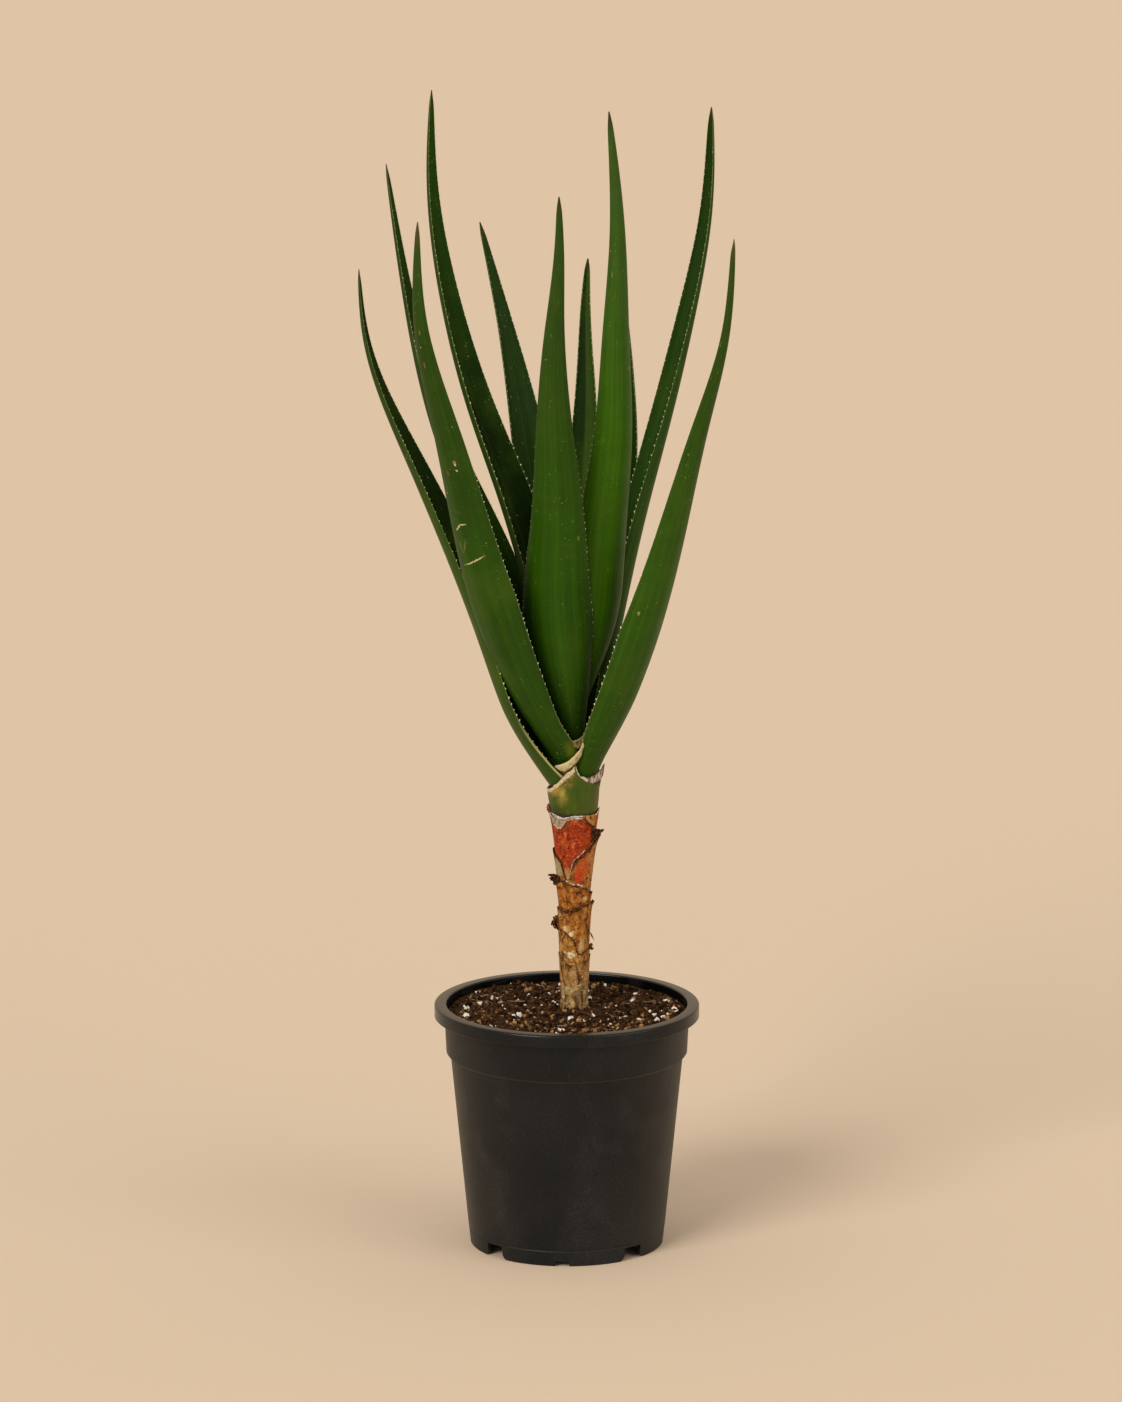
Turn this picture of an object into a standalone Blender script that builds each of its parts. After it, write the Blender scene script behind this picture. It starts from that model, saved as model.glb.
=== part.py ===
"""A potted tree aloe: a black nursery pot, potting mix, a stem ringed with dry leaf bases, and a crown of
channelled leaves. Metres, +Z up; -Y is the front. The origin is on the floor, in the middle of the room that
the whole plant takes up. The pieces are modelled about the pot's axis, which the stand carries to its place."""

import math
from dataclasses import dataclass

import bmesh
import bpy
import numpy as np
from mathutils import Matrix, Vector
from mathutils.bvhtree import BVHTree

MM = 0.001
GAP = 0.3  # millimetres between pieces that touch
POT_AXIS = (18.5, -17.0)  # the crown leans to the left and to the back, so the pot stands the other way

# Pot, in millimetres
POT_SEGMENTS = 48
POT_HEIGHT = 223.0
RIM_RADIUS = 120.0
RIM_DEPTH = 11.5
RIM_WALL = 2.2
RIM_ROUND = 1.6
COLLAR_TOP_RADIUS = 111.2
COLLAR_FOOT_RADIUS = 109.2
COLLAR_FOOT = 178.5
SHOULDER_RADIUS = 105.3
SHOULDER = 175.5
BODY_FOOT_RADIUS = 89.4
CREASE = 14.8
FOOT_TOP_RADIUS = 89.0
FOOT_RADIUS = 87.6
FOOT_WALL = 3.4
WALL = 2.1
FLOOR_TOP = 16.8
FLOOR_THICKNESS = 2.4

# Drainage: tall notches through the foot, low ones between them, slots and a hole through the floor
DRAIN_TURN = -92.5  # degrees, the first low notch, a little to the left of the front
TALL_NOTCH = (19.0, 12.4)  # width and height
LOW_NOTCH = (12.0, 4.4)
FLOOR_SLOT = (30.0, 9.0)  # length along the radius, and width
FLOOR_SLOT_MIDDLE = 58.0
FLOOR_HOLE_RADIUS = 6.0

# Potting mix: nearly level, a little higher round the stem
MIX_TOP = 215.2
MIX_MOUND = 1.6
MIX_MOUND_RADIUS = 62.0
MIX_BUMP = 0.9
MIX_SEGMENTS = 40
MIX_CLEARANCE = 0.9  # between the mix and the corners of the pot's wall
MIX_RINGS = (0.86, 0.70, 0.54, 0.38, 0.22)  # shares of the radius at which its surface rises and falls

# Stem: it stands a little off the pot's middle
STEM_X = 6.8
STEM_Y = 5.0
STEM_FOOT = 148.0
STEM_SEGMENTS = 20
STEM_PROFILE = (  # radius and height of the living stem under its dry scales
    (4.0, STEM_FOOT),
    (9.0, 156.0),
    (12.7, 176.0),
    (12.8, 222.0),
    (12.6, 240.0),
    (11.5, 245.0),
    (11.3, 276.0),
    (11.4, 300.0),
    (11.7, 318.0),
    (13.2, 340.0),
    (16.0, 368.0),
    (17.9, 390.0),
    (18.9, 412.0),
    (18.9, 423.0),
)
CROWN_FOOT = 424.0
CROWN_RADIUS = 19.0
CROWN_TAPER = 0.35
CROWN_TIP_RADIUS = 3.0
CROWN_TOP = 486.0

# Leaves, in millimetres
LEAF_RINGS = 17
LEAF_HALVES = 3
SEAT_GAP = 0.5
SHEATH_THICKNESS = 1.7
MARGIN_THICKNESS = 0.7
OPEN_SHARE = 0.12
RING_CROWDING = 1.25
SPLINE_SAMPLES = 24


@dataclass(frozen=True)
class Leaf:
    """One leaf: where its sheath sits, the line its keel follows, and how wide and folded it is, in millimetres."""

    name: str
    azimuth: float  # degrees, the side of the stem that it leaves: 0 is +X and 90 is +Y
    seat: float  # height of the sheath's foot
    lean: float  # degrees from upright at the foot
    line: tuple  # places (x, y, z) that the keel passes above the foot, the last of them the tip
    width: float  # half of the blade's flat width at its broadest
    fold: float = 50.0  # degrees that each half of the blade is bent up
    wrap: float = 90.0  # degrees that each half of the sheath reaches round the stem
    turn: tuple = (0, 0)  # degrees that its face has turned a fifth of the way up, and at the tip
    broad: float = 0.24  # share of the length at which it is broadest
    taper: float = 1.25  # above that place: lower keeps the blade broad for longer
    thick: float = 6.5  # of the blade along its keel


LEAVES = (
    Leaf(
        "leaf_left_outer", 180, 424, 36,
        ((-72, -9, 560), (-106, -14, 648), (-142, -16, 732), (-179, -17, 835), (-185, -18, 898)),
        31.5, 65, 80, turn=(-22, -18), taper=1.2, thick=5.0,
    ),
    Leaf(
        "leaf_right_outer", 326, 430, 33,
        ((55, -26, 517), (92, -52, 648), (118, -72, 764), (140, -89, 851), (149, -93, 934)),
        33, 60, 85, turn=(4, 7), broad=0.29, taper=1.4,
    ),
    Leaf(
        "leaf_left_rear", 152, 434, 26,
        ((-46, 36, 560), (-68, 43, 625), (-112, 60, 731), (-143, 75, 855), (-162, 84, 977)),
        29, 50, 80, taper=1.15,
    ),
    Leaf(
        "leaf_right_rear_low", 68, 438, 26,
        ((26, 58, 560), (54, 96, 690), (57, 112, 770), (52, 124, 845)),
        26, 50, 70,
    ),
    Leaf(
        "leaf_left_front", 222, 441, 34,
        ((-56, -39, 549), (-81, -61, 627), (-109, -96, 759), (-130, -124, 870), (-131, -128, 954)),
        34.5, 60, 75, broad=0.33, taper=1.1,
    ),
    Leaf(
        "leaf_rear_left", 112, 446, 22,
        ((-16, 56, 600), (-35, 96, 712), (-55, 134, 815), (-79, 164, 912)),
        36, 55, 70, taper=1.2,
    ),
    Leaf(
        "leaf_right_rear_tall", 28, 452, 18,
        ((62, 42, 651), (90, 62, 757), (112, 76, 851), (127, 88, 936), (132, 92, 1025)),
        22, 70, 70, turn=(-14, 22), taper=0.8,
    ),
    Leaf(
        "leaf_front", 266, 457, 8,
        ((-2, -20, 526), (-10, -42, 604), (-9, -67, 672), (-11, -91, 749), (-11, -110, 858), (-7, -120, 978)),
        35, 50, 75, taper=1.3,
    ),
    Leaf(
        "leaf_left_tall", 147, 464, 14,
        ((-50, 36, 675), (-81, 56, 758), (-107, 76, 851), (-122, 88, 958), (-121, 88, 1043)),
        29, 50, 70, taper=0.9,
    ),
    Leaf(
        "leaf_front_tall", 296, 470, 8,
        ((27, -13, 582), (36, -30, 667), (44, -55, 752), (45, -81, 846), (45, -97, 945), (38, -108, 1051)),
        30.5, 50, 70, broad=0.22, taper=1.05,
    ),
    Leaf(
        "leaf_rear", 85, 478, 6,
        ((10, 30, 640), (17, 60, 762), (17, 84, 851), (19, 92, 890)),
        26, 60, 70, taper=1.05,
    ),
)


@dataclass(frozen=True)
class Scale:
    """The base of an old leaf round the stem: a thin cup whose rim rises, dips and curls. Lengths in millimetres."""

    name: str
    foot: float  # height of its lower edge
    outer: tuple  # outer radius at its lower edge and at its rim
    rim: tuple  # (azimuth in degrees, height) pairs that the rim passes, in order round the stem
    spurs: tuple = ()  # (azimuth in degrees, rise, reach outwards) of each torn corner on the rim
    thickness: float = 0.7
    colour: tuple = (0.42, 0.24, 0.10)


SCALES = (
    Scale("dry_scale_1", 246, (12.9, 13.8),
          ((0, 266), (90, 262), (180, 268), (235, 263), (285, 262), (299, 256), (315, 262)),
          colour=(0.46, 0.31, 0.17)),
    Scale("dry_scale_2", 256, (12.3, 14.3),
          ((0, 275), (90, 286), (180, 294), (205, 292), (240, 290), (270, 283), (281, 272), (297, 269), (320, 272)),
          ((178, 8, 3.6), (355, 2, 1.7)), colour=(0.45, 0.25, 0.09)),
    Scale("dry_scale_3", 280, (12.3, 15.0),
          ((0, 316), (90, 308), (180, 310), (225, 311), (270, 313), (300, 315), (330, 316)),
          ((350, 2, 1.6),), colour=(0.43, 0.22, 0.07)),
    Scale("dry_scale_4", 302, (12.6, 16.6),
          ((0, 324), (90, 334), (180, 337), (225, 338), (270, 335), (315, 331), (345, 326)),
          ((183, 4, 6.5), (110, 3, 3.0)), colour=(0.44, 0.21, 0.06)),
    Scale("dry_scale_5", 318, (13.2, 20.2),
          ((0, 376), (90, 370), (180, 364), (200, 362), (223, 356), (234, 352), (246, 346), (259, 353), (271, 357),
           (289, 361), (308, 365), (324, 372)),
          ((358, 6, 5.0),), colour=(0.50, 0.13, 0.05)),
    Scale("dry_scale_6", 338, (14.2, 21.7),
          ((0, 402), (90, 397), (180, 399), (208, 396), (250, 397), (284, 399), (324, 398), (340, 402)),
          ((182, 6, 2.0),), colour=(0.52, 0.11, 0.05)),
)

# Green sheath: the clasping base of the lowest leaf, dry along its rim; it peaks at the front and at the back
SHEATH_FOOT = 393.0
SHEATH_RADII = (19.5, 23.3)  # outer, at its foot and at its rim
SHEATH_RIM = 421.0
SHEATH_FRONT_PEAK = 26.0
SHEATH_RIGHT_FALL = 2.5  # power by which the front peak falls faster on its right than on its left
SHEATH_REAR_PEAK = 15.0
SHEATH_WALL = 1.1

# Papery collar: a torn shred of leaf base that laps over the sheath's rim and stands up under the right outer leaf
COLLAR_SPAN = (-88.0, 20.0)  # degrees
COLLAR_LAP = 1.5  # its foot below the sheath's rim
COLLAR_RIM = ((-88, 449), (-75, 441), (-60, 435), (-40, 433), (-15, 434.5), (0, 439), (8, 443.5), (20, 430))
COLLAR_RADII = (24.4, 24.9, 27.6)  # outer, at its foot, along its rim, and at its torn tip
COLLAR_TIP = (-40.0, 8.0)  # degrees between which it curls out to the tip
COLLAR_WALL = 0.6

LEAF_GREEN = (0.035, 0.11, 0.022)
STEM_TAN = (0.40, 0.27, 0.14)
SHEATH_GREEN = (0.10, 0.16, 0.03)
PAPER_GREY = (0.50, 0.44, 0.36)
MIX_BROWN = (0.035, 0.022, 0.015)
POT_BLACK = (0.012, 0.013, 0.015)


def smooth(value):
    """0 below 0, 1 above 1, and an even ramp between them."""
    value = min(1.0, max(0.0, value))
    return value * value * (3 - 2 * value)


def leaning(azimuth, lean):
    """Unit vector that leans this many degrees from upright towards the azimuth."""
    turn, tilt = math.radians(azimuth), math.radians(lean)
    return Vector((math.cos(turn) * math.sin(tilt), math.sin(turn) * math.sin(tilt), math.cos(tilt)))


def round_stem(azimuth, radius, height):
    """The place at this azimuth and radius about the stem's axis, in millimetres."""
    turn = math.radians(azimuth)
    return Vector((STEM_X + radius * math.cos(turn), STEM_Y + radius * math.sin(turn), height))


def clear_scene():
    """Removes what the scene holds."""
    for old in list(bpy.data.objects):
        bpy.data.objects.remove(old)


def finish(name, colour, roughness):
    """A Principled material for one piece."""
    material = bpy.data.materials.new(name)
    material.use_nodes = True
    shader = material.node_tree.nodes["Principled BSDF"]
    shader.inputs["Base Color"].default_value = (*colour, 1.0)
    shader.inputs["Roughness"].default_value = roughness
    shader.inputs["Metallic"].default_value = 0.0
    return material


def add_piece(name, skin, colour, roughness):
    """Links the mesh as an object of that name, with its own material."""
    mesh = bpy.data.meshes.new(name)
    bmesh.ops.recalc_face_normals(skin, faces=skin.faces[:])
    skin.to_mesh(mesh)
    skin.free()
    mesh.shade_smooth()
    mesh.set_sharp_from_angle(angle=math.radians(40))
    mesh.materials.append(finish(name, colour, roughness))
    piece = bpy.data.objects.new(name, mesh)
    bpy.context.scene.collection.objects.link(piece)
    return piece


def join_rings(skin, rings, closed_round=True):
    """Faces between each ring of vertices and the next."""
    for low, high in zip(rings, rings[1:]):
        count = len(low)
        for i in range(count if closed_round else count - 1):
            j = (i + 1) % count
            skin.faces.new((low[i], low[j], high[j], high[i]))


def turned(profile, segments, centre=(0.0, 0.0), loop=False):
    """A (radius, height) profile turned about an upright axis; a loop closes on itself, the rest end on the axis."""
    skin = bmesh.new()
    rings = []
    for radius, height in profile:
        ring = []
        for step in range(segments):
            turn = math.tau * step / segments
            place = Vector((centre[0] + radius * math.cos(turn), centre[1] + radius * math.sin(turn), height))
            ring.append(skin.verts.new(place * MM))
        rings.append(ring)
    join_rings(skin, rings + rings[:1] if loop else rings)
    if not loop:
        skin.faces.new(rings[0])
        skin.faces.new(rings[-1])
    return skin


def block(middle, size, turn):
    """A box of this size, turned about +Z by this many degrees, with its middle in millimetres."""
    skin = bmesh.new()
    bmesh.ops.create_cube(skin, size=MM)
    bmesh.ops.scale(skin, vec=Vector(size), verts=skin.verts[:])
    place = Matrix.Translation(Vector(middle) * MM) @ Matrix.Rotation(math.radians(turn), 4, "Z")
    bmesh.ops.transform(skin, matrix=place, verts=skin.verts[:])
    return skin


def cut(piece, skin, name):
    """Takes the shape away from the piece, with a Boolean whose cutter stays out of the render."""
    mesh = bpy.data.meshes.new(name)
    bmesh.ops.recalc_face_normals(skin, faces=skin.faces[:])
    skin.to_mesh(mesh)
    skin.free()
    cutter = bpy.data.objects.new(name, mesh)
    bpy.context.scene.collection.objects.link(cutter)
    cutter.hide_render = True
    cutter.display_type = "WIRE"
    modifier = piece.modifiers.new(name, "BOOLEAN")
    modifier.operation = "DIFFERENCE"
    modifier.object = cutter


def pot_profile():
    """The pot's wall, rim, foot and floor as one closed outline, from the foot's inner edge outwards and up."""
    underside = FLOOR_TOP - FLOOR_THICKNESS
    lip_foot = POT_HEIGHT - RIM_DEPTH
    foot_inner = FOOT_RADIUS - FOOT_WALL
    inner_top = COLLAR_TOP_RADIUS - WALL
    return (
        (foot_inner, 0.0),
        (FOOT_RADIUS - 0.8, 0.0),
        (FOOT_RADIUS, 0.8),
        (FOOT_TOP_RADIUS, CREASE - 1.0),
        (FOOT_TOP_RADIUS - 0.4, CREASE),
        (BODY_FOOT_RADIUS, CREASE + 1.2),
        (SHOULDER_RADIUS, SHOULDER),
        (COLLAR_FOOT_RADIUS - 1.0, COLLAR_FOOT - 1.2),
        (COLLAR_FOOT_RADIUS, COLLAR_FOOT + 0.6),
        (COLLAR_TOP_RADIUS, POT_HEIGHT - RIM_WALL),
        (RIM_RADIUS - RIM_WALL, POT_HEIGHT - RIM_WALL),
        (RIM_RADIUS - RIM_WALL, lip_foot),
        (RIM_RADIUS, lip_foot),
        (RIM_RADIUS, POT_HEIGHT - RIM_ROUND),
        (RIM_RADIUS - RIM_ROUND, POT_HEIGHT),
        (inner_top + 1.0, POT_HEIGHT),
        (inner_top, POT_HEIGHT - 1.0),
        (COLLAR_FOOT_RADIUS - WALL, COLLAR_FOOT),
        (SHOULDER_RADIUS - WALL, SHOULDER),
        (BODY_FOOT_RADIUS - WALL, FLOOR_TOP),
        (FLOOR_HOLE_RADIUS, FLOOR_TOP),
        (FLOOR_HOLE_RADIUS, underside),
        (foot_inner + 1.2, underside),
    )


def add_pot():
    """The nursery pot, moulded in one piece."""
    pot = add_piece("pot", turned(pot_profile(), POT_SEGMENTS, loop=True), POT_BLACK, 0.42)
    reach = 2 * (FOOT_TOP_RADIUS - FOOT_RADIUS + FOOT_WALL) + 6
    for step in range(8):
        azimuth = DRAIN_TURN + 45 * step
        width, height = TALL_NOTCH if step % 2 else LOW_NOTCH
        middle = leaning(azimuth, 90) * (FOOT_RADIUS - FOOT_WALL / 2)
        middle.z = height / 2 - 1
        cut(pot, block(middle, (reach, width, height + 2), azimuth), f"notch_{step + 1}")
    for step in range(4):
        azimuth = DRAIN_TURN + 45 + 90 * step
        middle = leaning(azimuth, 90) * FLOOR_SLOT_MIDDLE
        middle.z = FLOOR_TOP - FLOOR_THICKNESS / 2
        cut(pot, block(middle, (*FLOOR_SLOT, FLOOR_THICKNESS + 2), azimuth), f"floor_slot_{step + 1}")


def mix_height(x, y):
    """Height of the mix's uneven surface at a place on it, in millimetres."""
    mound = MIX_MOUND * smooth(1 - math.hypot(x - STEM_X, y - STEM_Y) / MIX_MOUND_RADIUS)
    ripple = math.sin(x / 9.5 + 0.8) * math.sin(y / 8.1 + 2.1) + 0.6 * math.sin(x / 17 - y / 13)
    return MIX_TOP + mound + MIX_BUMP * ripple


def add_mix():
    """The potting mix: the inside of the pot, 0.3 mm clear of it, with a hole for the foot of the stem."""
    skin = bmesh.new()
    sides = (
        (BODY_FOOT_RADIUS - WALL - MIX_CLEARANCE, FLOOR_TOP + GAP),
        (SHOULDER_RADIUS - WALL - MIX_CLEARANCE, SHOULDER - 0.5),
        (COLLAR_FOOT_RADIUS - WALL - MIX_CLEARANCE, COLLAR_FOOT + 0.5),
        (COLLAR_TOP_RADIUS - WALL - MIX_CLEARANCE - GAP, None),
    )
    edge = sides[-1][0]
    rings = []
    for radius, height in sides + tuple((edge * share, None) for share in MIX_RINGS):
        ring = []
        for step in range(MIX_SEGMENTS):
            turn = math.tau * step / MIX_SEGMENTS
            x, y = radius * math.cos(turn), radius * math.sin(turn)
            ring.append(skin.verts.new(Vector((x, y, mix_height(x, y) if height is None else height)) * MM))
        rings.append(ring)
    join_rings(skin, rings)
    skin.faces.new(rings[0])
    skin.faces.new(rings[-1])
    mix = add_piece("potting_mix", skin, MIX_BROWN, 0.95)
    hole = [(STEM_PROFILE[0][0] + GAP, STEM_FOOT - GAP)]
    hole += [(radius + GAP, height) for radius, height in STEM_PROFILE[1:4]]
    hole.append((hole[-1][0], MIX_TOP + 20))
    cut(mix, turned(hole, STEM_SEGMENTS, (STEM_X, STEM_Y)), "stem_hole")


def crown_radius(height):
    """Radius of the stem's growing tip, where the leaves' feet sit on it."""
    return max(CROWN_TIP_RADIUS, CROWN_RADIUS - CROWN_TAPER * (height - CROWN_FOOT))


def add_stem():
    """The living stem, from its buried foot to the growing tip inside the crown."""
    profile = list(STEM_PROFILE)
    for height in (CROWN_FOOT + 1, 440.0, 455.0, 469.0, CROWN_TOP):
        profile.append((crown_radius(height) - 0.2, height))
    profile.append((1.0, CROWN_TOP + 2))
    add_piece("stem", turned(profile, STEM_SEGMENTS, (STEM_X, STEM_Y)), STEM_TAN, 0.8)


def rim_height(marks, azimuth):
    """Height of a torn rim at this azimuth, eased between the (azimuth, height) marks that it passes."""
    for i, (start, low) in enumerate(marks):
        end, high = marks[(i + 1) % len(marks)]
        width = (end - start) % 360
        along = (azimuth - start) % 360
        if along <= width:
            return low + (high - low) * smooth(along / width)
    return marks[0][1]


def spur_share(azimuth, middle, half=24.0):
    """1 at a spur's middle, falling in straight flanks to 0 half a width away."""
    away = abs((azimuth - middle + 180) % 360 - 180)
    return max(0.0, 1 - away / half)


def cup(azimuths, levels, closed_round=True):
    """A thin wall round the stem: levels(azimuth) gives its (inner radius, outer radius, height) from foot to rim."""
    skin = bmesh.new()
    columns = []
    for azimuth in azimuths:
        rows = levels(azimuth)
        inner = [skin.verts.new(round_stem(azimuth, r_in, h) * MM) for r_in, _, h in rows]
        outer = [skin.verts.new(round_stem(azimuth, r_out, h) * MM) for _, r_out, h in rows]
        columns.append(outer + inner[::-1])
    join_rings(skin, columns + columns[:1] if closed_round else columns)
    if not closed_round:
        skin.faces.new(columns[0])
        skin.faces.new(columns[-1])
    return skin


def add_scale(scale, segments=36, rows=3):
    """One dry leaf base: it widens with height, so that its rim stands outside the foot of the next one up."""
    crest = max(height for _, height in scale.rim)

    def levels(azimuth):
        top = rim_height(scale.rim, azimuth)
        curl = 0.0
        for middle, rise, reach in scale.spurs:
            share = spur_share(azimuth, middle)
            top += rise * share
            curl += reach * share
        found = []
        for row in range(rows + 1):
            height = scale.foot + (top - scale.foot) * row / rows
            widen = ((height - scale.foot) / (crest - scale.foot)) ** 1.2
            outer = scale.outer[0] + (scale.outer[1] - scale.outer[0]) * widen
            outer += curl * max(0.0, 3 * row / rows - 2)
            found.append((outer - scale.thickness, outer, height))
        return found

    azimuths = [360 * step / segments for step in range(segments)]
    add_piece(scale.name, cup(azimuths, levels), scale.colour, 0.75)


def sheath_top(azimuth):
    """Height of the green sheath's rim, with its two peaks and the dips that the outer leaves rise from."""
    east, north = math.cos(math.radians(azimuth)), math.sin(math.radians(azimuth))
    rise = 1 - abs(east)
    if north > 0:
        return SHEATH_RIM + SHEATH_REAR_PEAK * rise
    return SHEATH_RIM + SHEATH_FRONT_PEAK * (rise**SHEATH_RIGHT_FALL if east > 0 else rise)


def add_green_sheath(segments=32, rows=4):
    """The sheath under the crown."""

    def levels(azimuth):
        top = sheath_top(azimuth)
        found = []
        for row in range(rows + 1):
            height = SHEATH_FOOT + (top - SHEATH_FOOT) * row / rows
            widen = smooth((height - SHEATH_FOOT) / (SHEATH_RIM - SHEATH_FOOT))
            outer = SHEATH_RADII[0] + (SHEATH_RADII[1] - SHEATH_RADII[0]) * widen
            found.append((outer - SHEATH_WALL, outer, height))
        return found

    azimuths = [360 * step / segments for step in range(segments)]
    return add_piece("green_sheath", cup(azimuths, levels), SHEATH_GREEN, 0.5)


def add_papery_collar(columns=18, rows=3):
    """The torn shred on the sheath's rim, which curls out to a point at its right end."""
    start, end = COLLAR_SPAN
    foot_radius, rim_radius, tip_radius = COLLAR_RADII

    def levels(azimuth):
        foot = sheath_top(azimuth) - COLLAR_LAP
        top = rim_height(COLLAR_RIM, azimuth)
        curl = smooth((azimuth - COLLAR_TIP[0]) / (COLLAR_TIP[1] - COLLAR_TIP[0]))
        edge = rim_radius + (tip_radius - rim_radius) * curl
        found = []
        for row in range(rows + 1):
            share = row / rows
            outer = foot_radius + (edge - foot_radius) * share
            found.append((outer - COLLAR_WALL, outer, foot + (top - foot) * share))
        return found

    azimuths = [start + (end - start) * step / columns for step in range(columns + 1)]
    return add_piece("papery_collar", cup(azimuths, levels, closed_round=False), PAPER_GREY, 0.85)


def spline(places, start):
    """Points along the smooth curve through the places, which leaves the first of them in the start direction."""
    knots = [Vector(place) for place in places]
    spans = [(b - a).length for a, b in zip(knots, knots[1:])]
    count = len(knots)
    system, right = np.zeros((count, count)), np.zeros((count, 3))
    system[0, 0], right[0] = 1, start
    for i in range(1, count - 1):
        before, after = spans[i - 1], spans[i]
        system[i, i - 1 : i + 2] = after, 2 * (before + after), before
        right[i] = 3 * (after * (knots[i] - knots[i - 1]) / before + before * (knots[i + 1] - knots[i]) / after)
    system[-1, -2:] = 1, 2
    right[-1] = 3 * (knots[-1] - knots[-2]) / spans[-1]
    slopes = [Vector(row) for row in np.linalg.solve(system, right)]
    points = []
    for i, span in enumerate(spans):
        for step in range(SPLINE_SAMPLES):
            t = step / SPLINE_SAMPLES
            points.append(
                knots[i] * (1 + 2 * t) * (1 - t) ** 2
                + slopes[i] * span * t * (1 - t) ** 2
                + knots[i + 1] * t * t * (3 - 2 * t)
                + slopes[i + 1] * span * t * t * (t - 1)
            )
    return points + [knots[-1]]


def leaf_places(leaf):
    """(share of the length, place, direction) at each ring of the leaf, closer together near the foot."""
    foot = round_stem(leaf.azimuth, crown_radius(leaf.seat) + SEAT_GAP, leaf.seat)
    points = spline((foot, *leaf.line), leaning(leaf.azimuth, leaf.lean))
    reached = [0.0]
    for a, b in zip(points, points[1:]):
        reached.append(reached[-1] + (b - a).length)
    places = []
    for ring in range(LEAF_RINGS + 1):
        share = (ring / LEAF_RINGS) ** RING_CROWDING
        at = share * reached[-1]
        i = min(len(points) - 2, max(k for k, way in enumerate(reached) if way <= at + 1e-9))
        step = points[i + 1] - points[i]
        place = points[i] + step * ((at - reached[i]) / step.length)
        ahead, behind = points[min(i + 2, len(points) - 1)], points[max(i - 1, 0)]
        heading = leaning(leaf.azimuth, leaf.lean) if ring == 0 else (ahead - behind).normalized()
        places.append((share, place, heading))
    return places


def leaf_facing(leaf, share):
    """Azimuth, in degrees, that the leaf's outer face looks towards at this share of the length."""
    early, late = leaf.turn
    return leaf.azimuth + early * smooth(share / 0.2) + (late - early) * smooth((share - 0.2) / 0.8)


def leaf_half_width(leaf, share):
    """Half of the flat width at this share of the length."""
    foot = crown_radius(leaf.seat) * math.radians(leaf.wrap)
    if share < leaf.broad:
        return foot + (leaf.width - foot) * smooth(share / leaf.broad) ** 0.8
    rest = (share - leaf.broad) / (1 - leaf.broad)
    return leaf.width * max(0.0, 1 - rest**1.12) ** leaf.taper + 0.5


def leaf_section(leaf, share):
    """Outline of the leaf across its line, as (along its width, towards the stem) pairs: inner face, then outer."""
    half = leaf_half_width(leaf, share)
    opened = 1 - (1 - min(1.0, share / OPEN_SHARE)) ** 3
    fold = math.radians(leaf.wrap + (leaf.fold - leaf.wrap) * opened)
    radius = half / fold
    thick = SHEATH_THICKNESS + (leaf.thick - SHEATH_THICKNESS) * smooth((share - 0.02) / 0.16)
    thick = min(thick * (1 - share) ** 0.55 + 0.6, 1.1 * half)
    inner, outer = [], []
    for step in range(-LEAF_HALVES, LEAF_HALVES + 1):
        across = step / LEAF_HALVES
        angle = across * fold
        depth = MARGIN_THICKNESS + (thick - MARGIN_THICKNESS) * (1 - abs(across) ** 2.4)
        inner.append((radius * math.sin(angle), radius * (1 - math.cos(angle))))
        outer.append(((radius + depth) * math.sin(angle), radius - (radius + depth) * math.cos(angle)))
    return inner + outer[::-1]


def add_leaf(leaf):
    """The leaf as a closed skin: sections joined along its line, closed at the foot and at the tip."""
    skin = bmesh.new()
    rows = []
    places = leaf_places(leaf)
    for share, place, way in places[:-1]:
        inward = -leaning(leaf_facing(leaf, share), 90)
        inward = (inward - way * inward.dot(way)).normalized()
        across = inward.cross(way)
        rows.append([skin.verts.new((place + across * u + inward * v) * MM) for u, v in leaf_section(leaf, share)])
    join_rings(skin, rows)
    tip = skin.verts.new(places[-1][1] * MM)
    last = rows[-1]
    for i, vert in enumerate(last):
        skin.faces.new((vert, last[(i + 1) % len(last)], tip))
    foot, count = rows[0], len(rows[0])
    for i in range(count // 2 - 1):
        skin.faces.new((foot[i + 1], foot[i], foot[count - 1 - i], foot[count - 2 - i]))
    return add_piece(leaf.name, skin, LEAF_GREEN, 0.38)


def tree_of(mesh):
    """The mesh's faces, for a test of what touches them."""
    skin = bmesh.new()
    skin.from_mesh(mesh)
    tree = BVHTree.FromBMesh(skin)
    skin.free()
    return tree


def grown(piece, by):
    """A copy of the piece's mesh, swollen by this many millimetres along its normals."""
    skin = bmesh.new()
    skin.from_mesh(piece.data)
    skin.normal_update()
    moves = [(vert, vert.normal * by * MM * vert.calc_shell_factor()) for vert in skin.verts]
    for vert, move in moves:
        vert.co += move
    mesh = bpy.data.meshes.new(piece.name + "_swollen")
    skin.to_mesh(mesh)
    skin.free()
    return mesh


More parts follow.
